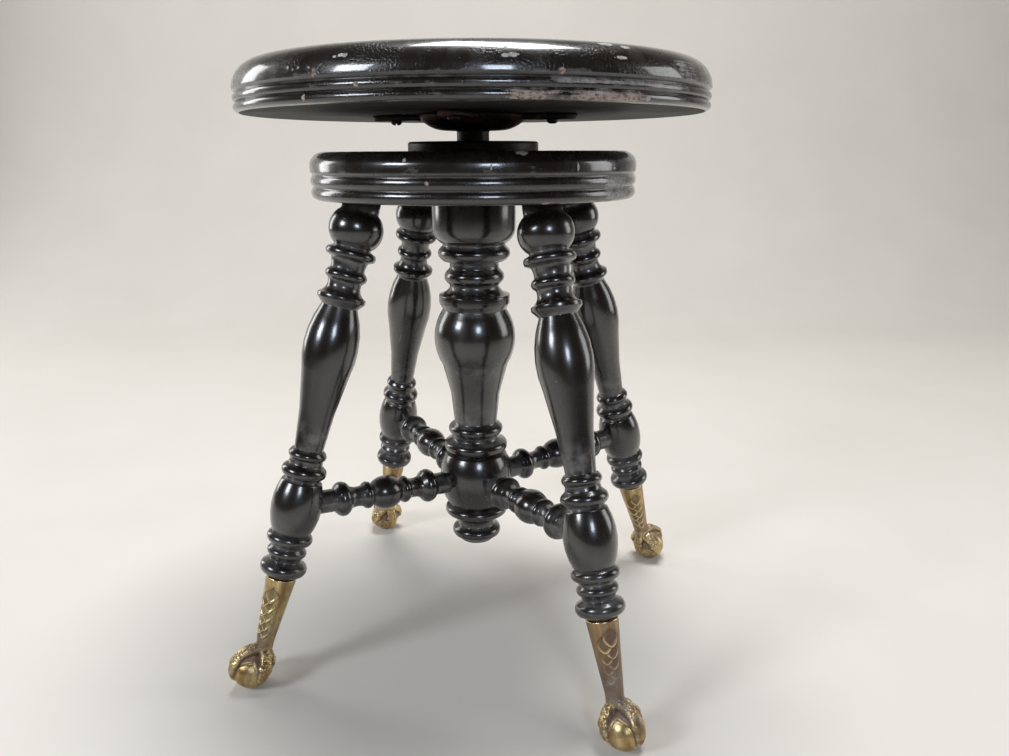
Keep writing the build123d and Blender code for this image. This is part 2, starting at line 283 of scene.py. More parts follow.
def studio_sweep():
    """A floor that curves up into a backdrop, drawn as one line and swept sideways."""
    form = bmesh.new()
    front = form.verts.new((-floor_reach, -floor_reach, 0))
    line = [front, form.verts.new((-floor_reach, sweep_start, 0))]
    for step in range(1, sweep_steps + 1):
        turn = math.radians(90 * step / sweep_steps)
        back = sweep_start + sweep_radius * math.sin(turn)
        rise = sweep_radius * (1 - math.cos(turn))
        line.append(form.verts.new((-floor_reach, back, rise)))
    line.append(form.verts.new((-floor_reach, line[-1].co.y, floor_reach)))
    edges = [form.edges.new(pair) for pair in zip(line, line[1:])]
    swept = bmesh.ops.extrude_edge_only(form, edges=edges)["geom"]
    far_side = [part for part in swept if isinstance(part, bmesh.types.BMVert)]
    bmesh.ops.translate(form, verts=far_side, vec=(2 * floor_reach, 0, 0))
    bmesh.ops.rotate(form, verts=form.verts, matrix=rotation(camera_heading).to_3x3())
    face_out(form)
    for face in form.faces:
        face.smooth = True
    piece = in_scene("studio_floor", mesh_of(form, "studio_floor"))
    return piece


def lamp(name, place, size, power, colour=(1, 1, 1)):
    """A soft square lamp that faces the middle of the stool."""
    light = bpy.data.lights.new(name, "AREA")
    light.shape = "RECTANGLE"
    light.size, light.size_y = size
    light.energy = power
    light.color = colour
    piece = in_scene(name, light)
    facing = (lamp_aim - Vector(place)).to_track_quat("-Z", "Y").to_matrix().to_4x4()
    piece.matrix_world = Matrix.Translation(place) @ facing


studio = studio_sweep()
paper, paper_tree, paper_shader = material("pale_floor", Roughness=0.7, Specular_IOR_Level=0.3)
paper_tone = grain(paper_tree, object_place(paper_tree), 6.0)
paper_tree.links.new(mix(paper_tree, paper_tone, *floor_tones), paper_shader.inputs["Base Color"])
studio.data.materials.append(paper)
lamp("lamp_overhead", (0.1, 0.35, 2.3), (1.2, 0.7), 44)
lamp("lamp_front_left", (-1.3, -1.6, 1.3), (0.6, 0.6), 22, daylight)
lamp("lamp_front_right", (0.95, -1.95, 1.15), (0.45, 0.5), 13, bluer_daylight)
lamp("lamp_back_left", (-1.95, 0.5, 0.8), (0.5, 1.2), 9)
lamp("lamp_back_right", (2.0, 0.7, 0.8), (0.8, 1.2), 9)
world = bpy.data.worlds.new("room")
world.use_nodes = True
room_light = world.node_tree.nodes["Background"]
room_light.inputs["Color"].default_value = room_tone
room_light.inputs["Strength"].default_value = room_strength
bpy.context.scene.world = world

# %% [markdown]
# ## Shared effects
# Three kinds of age show on all that was varnished. The black is rubbed where a form stands out,
# and painted paler there, which also serves as a painted highlight along the crests. Dust and old
# wax stay where it draws in, and knocks leave small chips. Each is a node group, so that the three
# varnishes share it. The first two read a value called crest, which each piece carries on its
# points: above 0 on the crown of a ring and below 0 in a neck. A chip is a blot round a given
# place, and noise added to the distance makes its edge ragged.


# %% Effect groups
def rubbed_effect():
    """Worn patches on what stands out, which the varnish paints paler, partly as a highlight."""
    tree, given, result = group(
        "rubbed", {"Place": "Vector", "Crest": "Float", "Scale": "Float", "Reach": "Float"}, "Worn"
    )
    cloud = grain(tree, given["Place"], given["Scale"], 5.0, 0.62)
    streak_scale = times(tree, given["Scale"], 3.0)
    streak = grain(tree, stretched(tree, given["Place"], (1.0, 1.0, 4.0)), streak_scale)
    patchy = plus(tree, times(tree, cloud, 0.7), times(tree, streak, 0.3))
    raised = plus(tree, patchy, times(tree, given["Crest"], given["Reach"]))
    tree.links.new(fade(tree, raised, 0.66, 0.74), result)
    return tree


def settled_effect():
    """Dust and old wax, in necks and grooves."""
    tree, given, result = group("settled", {"Place": "Vector", "Crest": "Float", "Scale": "Float"}, "Dust")
    cloud = grain(tree, given["Place"], given["Scale"], 4.0, 0.6)
    sunk = times(tree, fade(tree, times(tree, given["Crest"], -1.0), 0.05, 1.0), 0.95)
    tree.links.new(times(tree, sunk, fade(tree, cloud, 0.35, 0.7)), result)
    return tree


def chip_effect():
    """A ragged blot round one place."""
    tree, given, result = group(
        "chip", {"Place": "Vector", "Middle": "Vector", "Size": "Float", "Stretch": "Vector"}, "Chip"
    )
    away = add(tree, "VectorMath", {0: given["Place"], 1: given["Middle"]}, operation="SUBTRACT").outputs[0]
    flat = add(tree, "VectorMath", {0: away, 1: given["Stretch"]}, operation="MULTIPLY").outputs[0]
    distance = add(tree, "VectorMath", {0: flat}, operation="LENGTH").outputs["Value"]
    rough_edge = times(tree, grain(tree, given["Place"], 380.0, 5.0, 0.75), 1.7)
    near = plus(tree, calc(tree, "DIVIDE", distance, given["Size"]), rough_edge)
    tree.links.new(rest_of(tree, fade(tree, near, 1.33, 1.45)), result)
    return tree


rubbed = rubbed_effect()
settled = settled_effect()
chip = chip_effect()
print("effects:", [tree.name for tree in bpy.data.node_groups])

# %% [markdown]
# ## Ebonised varnish
# The black is a stain with a thin warm varnish over it, rubbed up with wax. A black base colour
# with a clear coat gives its two depths of reflection. It is never even: the gloss changes from
# place to place, dust greys the necks, crests are rubbed and painted paler as a highlight, and feet
# have kicked the lower turnings dull. Each of these is a mask of its own. The turned pieces share
# one function, because they were varnished in one go, and the two discs add their own knocks.


# %% Marks in the varnish
def smears(tree):
    """Faint cloudy smears, drawn out along a turning."""
    drawn_out = stretched(tree, own_place(tree), (55.0, 55.0, 16.0))
    return fade(tree, grain(tree, drawn_out, 1.0, 5.0, 0.65), 0.5, 0.78)


def scratches(tree, patches):
    """Fine lines, where a slow noise crosses its middle value, in some patches only."""
    wander = grain(tree, stretched(tree, own_place(tree), (75.0, 75.0, 13.0)), 1.0, 1.0)
    off_line = calc(tree, "ABSOLUTE", calc(tree, "SUBTRACT", wander, 0.5))
    line = rest_of(tree, fade(tree, off_line, 0.0, 0.0035))
    return times(tree, line, fade(tree, patches, 0.56, 0.66))


def kicks(tree, place, patches):
    """Dull grey patches low down on the legs, where shoes have been. The post is out of reach."""
    low = fade(tree, height_of(tree, place), 0.185, 0.10)
    outside = fade(tree, radius_of(tree, place), 0.08, 0.12)
    return times(tree, times(tree, low, outside), fade(tree, patches, 0.36, 0.62))


def knocks(tree, place, mask, blots):
    """A mask with ragged blots added at chosen places."""
    for middle, size, stretch in blots:
        blot = use(tree, chip, {"Place": place, "Middle": middle, "Size": size, "Stretch": stretch})
        mask = larger(tree, mask, blot)
    return mask


def wear_round(tree, place, speck, patches):
    """Uneven wear in streaks that run round a disc. It breaks up the rubbed bands."""
    round_streak = grain(tree, stretched(tree, unrolled(tree, place), (90.0, 300.0, 900.0)), 1.0, 4.0, 0.65)
    fine = plus(tree, times(tree, speck, 0.3), times(tree, round_streak, 0.7))
    drift = times(tree, calc(tree, "SUBTRACT", patches, 0.5), 1.1)
    return plus(tree, fine, drift)


def sitting(tree, place):
    """The middle of the seat's top, where sitting has taken the polish off."""
    inside = fade(tree, radius_of(tree, place), 0.162, 0.128)
    return times(tree, inside, fade(tree, height_of(tree, place), 0.470, 0.474))


def crazing(tree, place, depth):
    """Fine cracks in thick varnish, in some patches only."""
    cells = add(tree, "TexVoronoi", {"Vector": place, "Scale": 460.0}, feature="DISTANCE_TO_EDGE")
    cracks = times(tree, fade(tree, cells.outputs["Distance"], 0.0, 0.2), depth)
    return times(tree, cracks, fade(tree, grain(tree, place, 26.0, 3.0, 0.6), 0.42, 0.56))


print("marks ready: smears, scratches, kicks, knocks, wear, sitting, crazing")

# %% [markdown]
# ### One varnish for every turned piece
# Here the marks come together. The colours are laid one over the other from the black up, then every
# mark dulls the gloss by its own share, and last comes a relief of tool marks, grain and chipped edges.

# %% Varnish
deep_black = (0.0026, 0.0018, 0.0014, 1)
warm_black = (0.0105, 0.0062, 0.0042, 1)
dust_grey = (0.185, 0.178, 0.170, 1)
# Paler grey on crests: rubbed varnish, and a painted highlight along the beads
rubbed_grey_and_highlight = (0.110, 0.096, 0.088, 1)
shoe_grey = (0.072, 0.070, 0.070, 1)
smear_grey = (0.042, 0.038, 0.036, 1)
scratch_grey = (0.15, 0.145, 0.14, 1)
fresh_wood = ((0.26, 0.18, 0.14, 1), (0.50, 0.41, 0.36, 1))
stained_wood = (0.13, 0.085, 0.065, 1)
pale_ground = ((0.47, 0.45, 0.43, 1), (0.24, 0.22, 0.21, 1))


def ebonised(name, polish=0.16, crest_wear_and_highlight=0.12, chips=(), scuffs=(), crazed=0.0, sat_on=False):
    """Black varnish with wear and a painted highlight on crests, dust in necks, and knocks at chosen
    places.
    """
    made, tree, shader = material(name, IOR=1.5, Coat_Roughness=polish, Coat_IOR=1.62)
    place = object_place(tree)
    crest = own_value(tree, "crest")
    speck = grain(tree, place, 420.0, 4.0, 0.7)
    patches = grain(tree, place, 70.0, 4.0, 0.65)
    fibre = grain(tree, stretched(tree, own_place(tree), (260.0, 260.0, 9.0)), 1.0, 4.0, 0.6)
    worn = use(tree, rubbed, {"Place": place, "Crest": crest, "Scale": 55.0, "Reach": crest_wear_and_highlight})
    dust = use(tree, settled, {"Place": place, "Crest": crest, "Scale": 90.0})
    kicked = kicks(tree, place, patches)
    smeared = smears(tree)
    scratched = scratches(tree, patches)

    # Where the black is gone: bare wood, or the pale ground under it. One pale band on the seat is partly a
    # painted sheen line
    wearing = wear_round(tree, place, speck, patches)
    bare = fade(tree, plus(tree, own_value(tree, "rubbed_bare"), wearing), 0.99, 1.16)
    bare = knocks(tree, place, times(tree, bare, 0.9), chips)
    nicks = plus(tree, grain(tree, place, 170.0, 4.0, 0.7), times(tree, crest, 0.02))
    paled = fade(tree, plus(tree, own_value(tree, "rubbed_pale"), wearing), 0.99, 1.2)
    pale = larger(tree, fade(tree, nicks, 0.745, 0.76), times(tree, paled, 0.7))
    pale = knocks(tree, place, pale, scuffs)
    gone = larger(tree, bare, pale)

    # The colours, from the black up
    wood = mix(tree, grain(tree, place, 150.0, 3.0), *fresh_wood)
    wood = mix(tree, fade(tree, speck, 0.47, 0.6), wood, stained_wood)
    ground = mix(tree, fade(tree, speck, 0.4, 0.6), *pale_ground)
    colour = laid_over(tree, mix(tree, grain(tree, place, 30.0), deep_black, warm_black), (
        (dust, 0.6, dust_grey),
        # Paler crests: wear, and partly a painted highlight along the beads
        (worn, 0.6, rubbed_grey_and_highlight),
        (kicked, 0.42, shoe_grey),
        (smeared, 0.4, smear_grey),
        (scratched, 0.7, scratch_grey),
        (bare, 1.0, wood),
        (pale, 1.0, ground),
    ))
    tree.links.new(colour, shader.inputs["Base Color"])

    # The gloss: every mark dulls it by its own share
    gloss = plus(tree, 0.1, times(tree, grain(tree, place, 24.0, 5.0, 0.6), 0.26))
    for mark, share in ((fibre, 0.08), (smeared, 0.16), (kicked, 0.14), (dust, 0.3), (worn, 0.2)):
        gloss = plus(tree, gloss, times(tree, mark, share))
    gloss = larger(tree, gloss, times(tree, gone, 0.7))
    uncoated = gone
    if sat_on:
        dulled = sitting(tree, place)
        gloss = plus(tree, gloss, times(tree, dulled, times(tree, patches, 0.5)))
        uncoated = larger(tree, gone, times(tree, dulled, 0.85))
    tree.links.new(gloss, shader.inputs["Roughness"])
    tree.links.new(times(tree, rest_of(tree, uncoated), 0.8), shader.inputs["Coat Weight"])

    # Fine relief: tool marks, grain, cracks and the step at a chip's edge
    lathe = grain(tree, stretched(tree, own_place(tree), (12.0, 12.0, 900.0)), 1.0, 2.0)
    relief = plus(tree, times(tree, lathe, 0.5), times(tree, grain(tree, place, 210.0, 2.0), 0.6))
    relief = plus(tree, relief, times(tree, fibre, 0.5))
    if crazed:
        relief = plus(tree, relief, crazing(tree, place, crazed))
    relief = calc(tree, "SUBTRACT", relief, times(tree, gone, 2.5))
    bump(tree, shader, relief, 0.35, 0.00018)
    return made


varnish = ebonised("ebonised_varnish")
print("varnish nodes:", len(varnish.node_tree.nodes))

# %% [markdown]
# ## Wear of the two discs
# The seat and the platform are knocked the most, so each has a varnish of its own, with its chips
# written down as bearing, radius and height, as one would note them with a tape. Chips show wood,
# scuffs show the pale ground. Long worn bands follow the beads, which a blot can't do, so they are
# written on the disc's points instead and broken up by noise. One pale band on the seat's middle
# bead is also a painted sheen line. The undersides were never polished: they have one thin coat of
# a dull brown-black paint.

# %% Chips, scuffs and rubbed bands of the discs
# Bearing in degrees, radius, height and size in millimetres, and how it is narrowed along X, Y, Z
seat_chips = [
    (-106.5, 177.8, 460.3, 3.6, (1, 1, 0.9)),
    (-106.9, 177.8, 457.2, 2.0, (1.6, 1.6, 0.6)),
    (-97.1, 178.0, 452.8, 3.2, (1, 1, 1.4)),
    (-109.7, 177.9, 446.1, 3.0, (1.4, 1.4, 0.6)),
    (-58.3, 177.9, 459.0, 3.4, (1, 1, 1)),
    (-40.2, 177.6, 449.0, 3.8, (1, 1, 2.2)),
    (-12.5, 176.9, 464.8, 1.6, (1, 1, 1)),
    (62.0, 176.0, 467.0, 3.8, (1, 1, 1.5)),
    (171.0, 177.8, 447.0, 3.4, (1, 1, 1.8)),
]
seat_scuffs = [
    (-100.3, 175.3, 468.6, 5.6, (1, 1, 2.6)),
    (-101.9, 175.6, 468.2, 3.0, (1, 1, 2.0)),
    (-113.8, 177.2, 463.9, 1.8, (1, 1, 1)),
    (-112.3, 177.4, 462.6, 1.3, (1, 1, 1)),
    (-110.7, 177.4, 463.4, 1.6, (1, 1, 1)),
    (-107.9, 177.5, 462.8, 1.7, (1, 1, 1)),
    (-67.4, 176.2, 466.9, 5.2, (1, 1, 2.4)),
    (-69.0, 176.2, 466.6, 3.0, (1, 1, 1.6)),
    (-68.7, 173.1, 471.6, 2.6, (1.5, 1.5, 0.5)),
    (-47.0, 168.8, 475.1, 5.0, (0.5, 0.5, 2.6)),
    (-42.5, 170.5, 473.9, 4.2, (0.6, 0.6, 2.6)),
    (-45.0, 176.0, 467.4, 4.0, (0.5, 0.5, 2.2)),
    (-38.2, 177.9, 445.6, 3.2, (1, 1, 1.3)),
    (-10.8, 178.0, 454.8, 2.4, (1, 1, 0.8)),
    (-16.0, 174.2, 470.6, 2.6, (1, 1, 1.8)),
    (-13.5, 177.9, 457.5, 2.6, (1, 1.6, 0.6)),
    (-9.0, 177.9, 461.0, 2.4, (1, 1.4, 0.5)),
    (-11.0, 176.4, 467.0, 2.8, (1, 1.2, 0.8)),
    (-7.0, 178.0, 452.8, 2.6, (1, 1, 0.8)),
    (-5.5, 178.0, 447.0, 2.6, (1, 1, 0.8)),
    (128.0, 177.5, 461.0, 3.2, (1, 1, 1.2)),
]
platform_chips = [
    (-59.8, 121.4, 415.6, 6.6, (0.8, 0.8, 2.0)),
    (-88.8, 126.9, 396.6, 2.4, (1, 1, 1)),
    (75.0, 126.5, 409.0, 2.6, (1, 1, 1)),
]
platform_scuffs = [
    (-95.9, 126.2, 411.2, 2.4, (1, 1, 1)),
    (-41.5, 127.0, 406.5, 3.2, (2.0, 2.0, 0.5)),
    (-69.8, 127.0, 407.0, 2.6, (2.0, 2.0, 0.5)),
    (-24.0, 127.0, 404.6, 2.4, (1, 1, 1.6)),
    (-10.0, 127.0, 400.5, 2.6, (1, 1, 0.8)),
    (-7.0, 127.0, 391.0, 2.8, (1, 1, 0.8)),
]
# Bands rubbed to the wood: from and to as bearings, from and to as heights, and how far rubbed
seat_bands = [
    (-77, -32, 443.6, 449.0, 0.68),
    (-63, -36, 452.4, 455.0, 0.5),
    (-112, -96, 443.0, 445.0, 0.42),
    (-16, 2, 443.0, 447.0, 0.46),
    (20, 60, 443.0, 446.0, 0.46),
    (100, 150, 450.0, 454.5, 0.44),
    (-170, -150, 443.0, 446.5, 0.48),
]
# Bands rubbed only to the pale ground. The one on the middle bead is partly a painted sheen line
seat_pale_and_sheen_bands = [
    (-80, -33, 447.0, 450.6, 0.56),
    # On the middle bead: rubbed pale, and partly a painted sheen along the bead
    (-66, -18, 452.6, 456.2, 0.72),
    (-52, -38, 471.0, 476.4, 0.50),
    (-36, -2, 457.0, 470.0, 0.54),
    (-140, -124, 458.0, 470.0, 0.38),
    (70, 120, 452.6, 456.0, 0.46),
]
# The same two lists for the platform
platform_bands = [
    (-62, -14, 382.4, 384.6, 0.50),
    (-172, -156, 384.0, 398.0, 0.44),
    (40, 95, 383.0, 387.0, 0.46),
]
platform_pale_bands = [
    (-36, -6, 384.0, 400.0, 0.70),
    (-28, -8, 403.0, 409.0, 0.58),
    (150, 172, 388.0, 398.0, 0.44),
]


print("marks noted on the seat:", len(seat_chips) + len(seat_scuffs))

# %% [markdown]
# ### The discs' own finishes
# Each noted mark becomes a place on the rim and a size in metres, which the chip effect reads. The
# seat's varnish is more crazed than the platform's, and sitting has dulled the middle of its top.

# %% Varnish of the discs and paint under them
paint_tones = ((0.004, 0.003, 0.0025, 1), (0.012, 0.008, 0.006, 1))
paint_stain = (0.022, 0.016, 0.012, 1)


def on_rim(radius, azimuth, height):
    """A place on a round rim, from its bearing and its height above the floor, in metres."""
    bearing = math.radians(azimuth)
    return Vector((radius * math.cos(bearing), radius * math.sin(bearing), height)) * mm


def placed(chips):
    """Chips as the chip effect wants them: a place, a size in metres and a stretch."""
    return [
        (on_rim(radius, azimuth, height), size * mm, stretch)
        for azimuth, radius, height, size, stretch in chips
    ]


def dull_paint():
    """The thin brown-black paint under the seat and the platform, with the wood's grain in it."""
    made, tree, shader = material("dull_brown_paint", Roughness=0.62, Specular_IOR_Level=0.25)
    place = object_place(tree)
    streaks = grain(tree, stretched(tree, place, (14.0, 220.0, 14.0)), 1.0, 4.0, 0.6)
    stains = grain(tree, place, 16.0, 4.0, 0.6)
    colour = mix(tree, streaks, *paint_tones)
    colour = mix(tree, fade(tree, stains, 0.5, 0.75), colour, paint_stain)
    tree.links.new(colour, shader.inputs["Base Color"])
    tree.links.new(plus(tree, 0.45, times(tree, stains, 0.35)), shader.inputs["Roughness"])
    bump(tree, shader, streaks, 0.4, 0.0003)
    return made


# The seat's crests are painted paler than elsewhere, partly as wear and partly as highlight lines along its
# beads
seat_varnish = ebonised(
    "seat_varnish", polish=0.1, crest_wear_and_highlight=0.3, chips=placed(seat_chips), scuffs=placed(seat_scuffs),
    crazed=1.5, sat_on=True,
)
platform_varnish = ebonised(
    "platform_varnish", polish=0.12, crest_wear_and_highlight=0.24, chips=placed(platform_chips),
    scuffs=placed(platform_scuffs), crazed=0.6,
)
under_paint = dull_paint()
print("finishes of the discs:", seat_varnish.name, platform_varnish.name, under_paint.name)

# %% [markdown]
# ## Turning on the lathe
# A turner cuts beads, coves and vases into a spinning square of wood. The same can be done with a
# bmesh: draw half the outline as a few points, round the sharp corners with a vertex bevel, then
# spin the line about Z. An outline here is a list of (radius, height) in millimetres. A pair in
# square brackets is the middle of an arc between its neighbours, and that is how a bead, a ball or
# a vase gets its curve. The spin keeps the piece light, and its rows of faces follow the turning.

# %% The lathe
# A corner sharper than this many degrees is softened, and a point that stands out this many
# millimetres from its surroundings has a crest of 1
corner_angle = 22
full_crest = 2.0


def arc(start, middle, end, step=8.0):
    """Points along the arc through three points, about step degrees apart, without its ends."""
    first, half, last = (complex(*point) for point in (start, middle, end))
    ratio = (last - first) / (half - first)
    if abs(ratio.imag) < 1e-6:
        return []
    centre = first + (half - first) * (ratio - abs(ratio) ** 2) / (2j * ratio.imag)

    def angle(point):
        turned = (point - centre) / (first - centre)
        return math.atan2(turned.imag, turned.real)

    total = angle(last)
    if total * angle(half) < 0 or abs(total) < abs(angle(half)):
        total += math.copysign(math.tau, angle(half))
    count = max(2, round(abs(math.degrees(total)) / step))
    points = []
    for share in range(1, count):
        turned_to = complex(math.cos(total * share / count), math.sin(total * share / count))
        point = centre + (first - centre) * turned_to
        points.append((point.real, point.imag))
    return points


def drawn(outline):
    """All the points of an outline, with its arcs worked out."""
    points = [outline[0]]
    middle = None
    for point in outline[1:]:
        if isinstance(point, list):
            middle = point
            continue
        if middle:
            points += arc(points[-1], middle, point)
        points.append(point)
        middle = None
    return points


def bead(height, radius, width, neck):
    """Outline points of a turned bead, downwards from neck to neck."""
    brow = radius - width * 0.12
    return [
        (neck, height + width / 2),
        (brow, height + width * 0.3),
        [radius, height],
        (brow, height - width * 0.3),
        (neck, height - width / 2),
    ]


def spun(outline, steps, soften, reach=7.0):
    """A closed turned form, in metres, its corners softened by this many millimetres."""
    form = bmesh.new()
    points = drawn(outline)
    line = [form.verts.new((radius * mm, 0, height * mm)) for radius, height in points]
    for pair in zip(line, line[1:]):
        form.edges.new(pair)
    corners = []
    for before, point, after in zip(line, line[1:], line[2:]):
        if (point.co - before.co).angle(after.co - point.co, 0) > math.radians(corner_angle):
            corners.append(point)
    bmesh.ops.bevel(
        form, geom=corners, offset=soften * mm, offset_type="OFFSET", segments=3, profile=0.5,
        affect="VERTICES", material=-1, clamp_overlap=True,
    )
    bmesh.ops.spin(
        form, geom=form.verts[:] + form.edges[:], cent=(0, 0, 0), axis=(0, 0, 1),
        angle=math.tau, steps=steps, use_merge=True,
    )
    bmesh.ops.remove_doubles(form, verts=form.verts, dist=0.002 * mm)
    face_out(form)
    write_crest(form, points, reach)
    return form


def write_crest(form, points, reach):
    """Writes on each point how far it stands out from its surroundings, and its lathe place."""
    crest = form.verts.layers.float.new("crest")
    own = form.verts.layers.float_vector.new("on_the_lathe")
    usual = {}
    for vert in form.verts:
        here = (round(math.hypot(vert.co.x, vert.co.y) / mm, 1), round(vert.co.z / mm, 1))
        if here not in usual:
            near = [radius for radius, level in points if math.dist(here, (radius, level)) < reach]
            usual[here] = sum(near) / len(near) if near else here[0]
        vert[crest] = (here[0] - usual[here]) / full_crest
        vert[own] = vert.co


def finished(form, name, body, nodes, slot, *surfaces):
    """Makes an object of a form, and says which body it rides on and which nodes it replaces."""
    for face in form.faces:
        face.smooth = True
    mesh = mesh_of(form, name)
    for surface in surfaces:
        mesh.materials.append(surface)
    piece = in_scene(name, mesh)
    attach(piece, body)
    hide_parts(*nodes)
    return piece


print("a bead has", len(drawn(bead(0, 20, 10, 14))), "points")

# %% [markdown]
# ## The sizes that everything shares
# Heights come from the frame, so the surfaces stay on the construction if it changes. The rest is
# what a turner would note on the pattern stick.

# %% Shared sizes
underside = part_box("platform")[0].z / mm
platform_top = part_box("platform")[1].z / mm
seat_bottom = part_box("seat_top")[0].z / mm
seat_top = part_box("seat_top")[1].z / mm
leg_circle = 95.3
leg_splay = 16.9
foot_rim = 93.3
splay = math.radians(leg_splay)
leg_length = (underside - foot_rim) / math.cos(splay)
corner_turns = {"back_right": 45, "back_left": 135, "front_left": 225, "front_right": 315}


def leg_place(turn):
    """Where a leg stands: origin under the platform, -Z down the leg, +X outward."""
    return rotation(turn) @ shift(leg_circle, 0, underside) @ rotation(-leg_splay, "Y")


print("underside of the platform", round(underside, 1), "mm, leg", round(leg_length, 1), "mm")

# %% [markdown]
# ## Seat and platform
# Both are thick glued discs with the same moulding: two beads round the lower edge, a small step,
# and a wide rounded shoulder. The seat's top is very slightly hollow from planing. After the spin,
# the rubbed bands are written on the points of the rim, and the flat underside gets the paint.

# %% The two discs
seat_radius = 177.98
platform_radius = 126.98
# Where a disc's rim starts, and how softly a rubbed band ends, in degrees along and in mm up
rim_starts = 100
band_fade = 9
band_edge = 0.6


def moulded_disc(radius, bottom, top, bead_height, groove, shoulder_in, shoulder_down, hollow):
    """The outline of a disc with two beads at its lower edge."""
    inner = radius - groove
    return [
        (0, bottom),
        (inner - 1.2, bottom),
        (inner, bottom + 0.4),
        [radius, bottom + bead_height / 2],
        (inner, bottom + bead_height),
        [radius, bottom + bead_height * 1.5],
        (inner, bottom + bead_height * 2),
        (radius, bottom + bead_height * 2 + groove),
        (radius, top - shoulder_down),
        [radius - shoulder_in * 0.32, top - shoulder_down * 0.32],
        (radius - shoulder_in, top),
        (radius * 0.8, top - hollow * 0.2),
        [radius * 0.4, top - hollow * 0.85],
        (0, top - hollow),
    ]


def rub_bands(form, kind, bands):
    """Writes on each point of a disc's rim how far a band of its varnish has been rubbed."""
    wear = form.verts.layers.float.new(kind)
    for vert in form.verts:
        bearing = math.degrees(math.atan2(vert.co.y, vert.co.x))
        height = vert.co.z / mm
        if math.hypot(vert.co.x, vert.co.y) < rim_starts * mm:
            continue
        for first, last, low, high, strength in bands:
            along = min(bearing - first, last - bearing) / band_fade
            up = min(height - low, high - height) + band_edge
            vert[wear] = max(vert[wear], strength * min(1, max(0, along)) * min(1, max(0, up)))


def disc(name, body, node, outline, steps, bands, pale_bands, top_varnish):
    """A disc with rubbed bands on its rim and the paint on its flat underside."""
    form = spun(outline, steps, soften=0.7, reach=4.0)
    rub_bands(form, "rubbed_bare", bands)
    rub_bands(form, "rubbed_pale", pale_bands)
    bottom = outline[0][1]
    for face in form.faces:
        if face.calc_center_median().z < (bottom + 0.2) * mm:
            face.material_index = 1
    return finished(form, name, body, [node], "ebonised_wood", top_varnish, under_paint)


seat_outline = moulded_disc(
    seat_radius, seat_bottom, seat_top, bead_height=6.5, groove=2.5, shoulder_in=17,
    shoulder_down=18, hollow=0.8,
)
seat = disc("turned_seat", "seat", "seat_top", seat_outline, 200, seat_bands, seat_pale_and_sheen_bands, seat_varnish)
platform_outline = moulded_disc(
    platform_radius, underside, platform_top, bead_height=8.8, groove=2.0, shoulder_in=11,
    shoulder_down=8.5, hollow=0.0,
)
platform = disc(
    "turned_platform", "base", "platform", platform_outline, 160, platform_bands,
    platform_pale_bands, platform_varnish,
)
print("seat", len(seat.data.polygons), "faces; platform", len(platform.data.polygons), "faces")

# %% [markdown]
# ## The centre post
# One turning holds the stool together. Below the platform come a plain drum, beads and a disc, then
# the vase, the barrel that the stretchers enter, and the hanging finial.


# %% Centre post
def post_outline():
    """The post from the platform's underside down to the finial's tip."""
    top = underside
    hub = 141.5
    half = 23.5
    return [
        (0, top),
        (33.8, top),
        (33.8, top - 24.5),
        [31.4, top - 31.5],
        (25.7, top - 36.5),
        *bead(top - 44, 29.6, 12, 25.7),
        (20.0, top - 52),
        *bead(top - 63, 24.7, 14, 20.3),
        (20.5, top - 71.5),
        [24.0, top - 75.5],
        (29.4, top - 77.5),
        (29.4, top - 84.5),
        (26.4, top - 89.5),
        [33.2, top - 105],
        (28.0, top - 136.5),
        [20.6, hub + 75.5],
        (18.5, hub + 53),
        *bead(hub + 46, 23.7, 11, 19.5),
        *bead(hub + 31, 27.8, 12, 20.5),
        (26.5, hub + half),
        [32.2, hub],
        (25.5, hub - half),
        *bead(hub - 30.5, 28.0, 11, 20.0),
        [16.8, hub - 41],
        *bead(hub - 52, 21.9, 12, 16.5),
        (14.8, 80.7),
        (0, 80.7),
    ]


post_form = spun(post_outline(), steps=128, soften=0.8)
post = finished(post_form, "turned_post", "base", ["center_post"], "ebonised_wood", varnish)
print("post", len(post.data.polygons), "faces")

# %% [markdown]
# ## The four legs
# A leg is turned between centres as a straight piece, then set into the platform at a slant. It is
# made the same way here: spun upright, leaned into its place, and sawn off level with the platform.


# %% Legs
def leg_outline():
    """A leg in its own frame, from just inside the platform down to the brass sleeve."""
    low = -leg_length
    barrel = -242.3
    half = 21.5
    return [
        (0, 6),
        (14.0, 6),
        (14.0, -8.5),
        [20.5, -21.6],
        (14.0, -34.7),
        *bead(-40.2, 19.0, 9, 14.0),
        [13.0, -48.5],
        *bead(-56.5, 15.9, 9, 12.8),
        (12.5, -64),
        [14.4, -69],
        (18.4, -71.8),
        (18.4, -75),
        (13.8, -80),
        [20.7, -105],
        (18.6, -132),
        [13.6, barrel + 77],
        (11.3, barrel + 48),
        *bead(barrel + 43.5, 15.0, 8, 13.0),
        *bead(barrel + 29.8, 17.8, 12, 13.5),
        (16.0, barrel + half),
        [20.1, barrel],
        (15.5, barrel - half),
        *bead(low + 33.4, 18.2, 11, 13.5),
        *bead(low + 21.7, 15.7, 9, 13.0),
        *bead(low + 7.8, 18.7, 13.4, 12.2),
        (11.0, low + 1.0),
        (11.0, low),
        (0, low),
    ]


def saw_off(form, height, way):
    """Saws off level what lies above a height (way 1) or below it (-1), and closes the cut."""
    cut = bmesh.ops.bisect_plane(
        form, geom=form.verts[:] + form.edges[:] + form.faces[:], plane_co=(0, 0, height * mm),
        plane_no=(0, 0, way), clear_outer=True,
    )["geom_cut"]
    rim = [part for part in cut if isinstance(part, bmesh.types.BMEdge)]
    bmesh.ops.contextual_create(form, geom=rim)


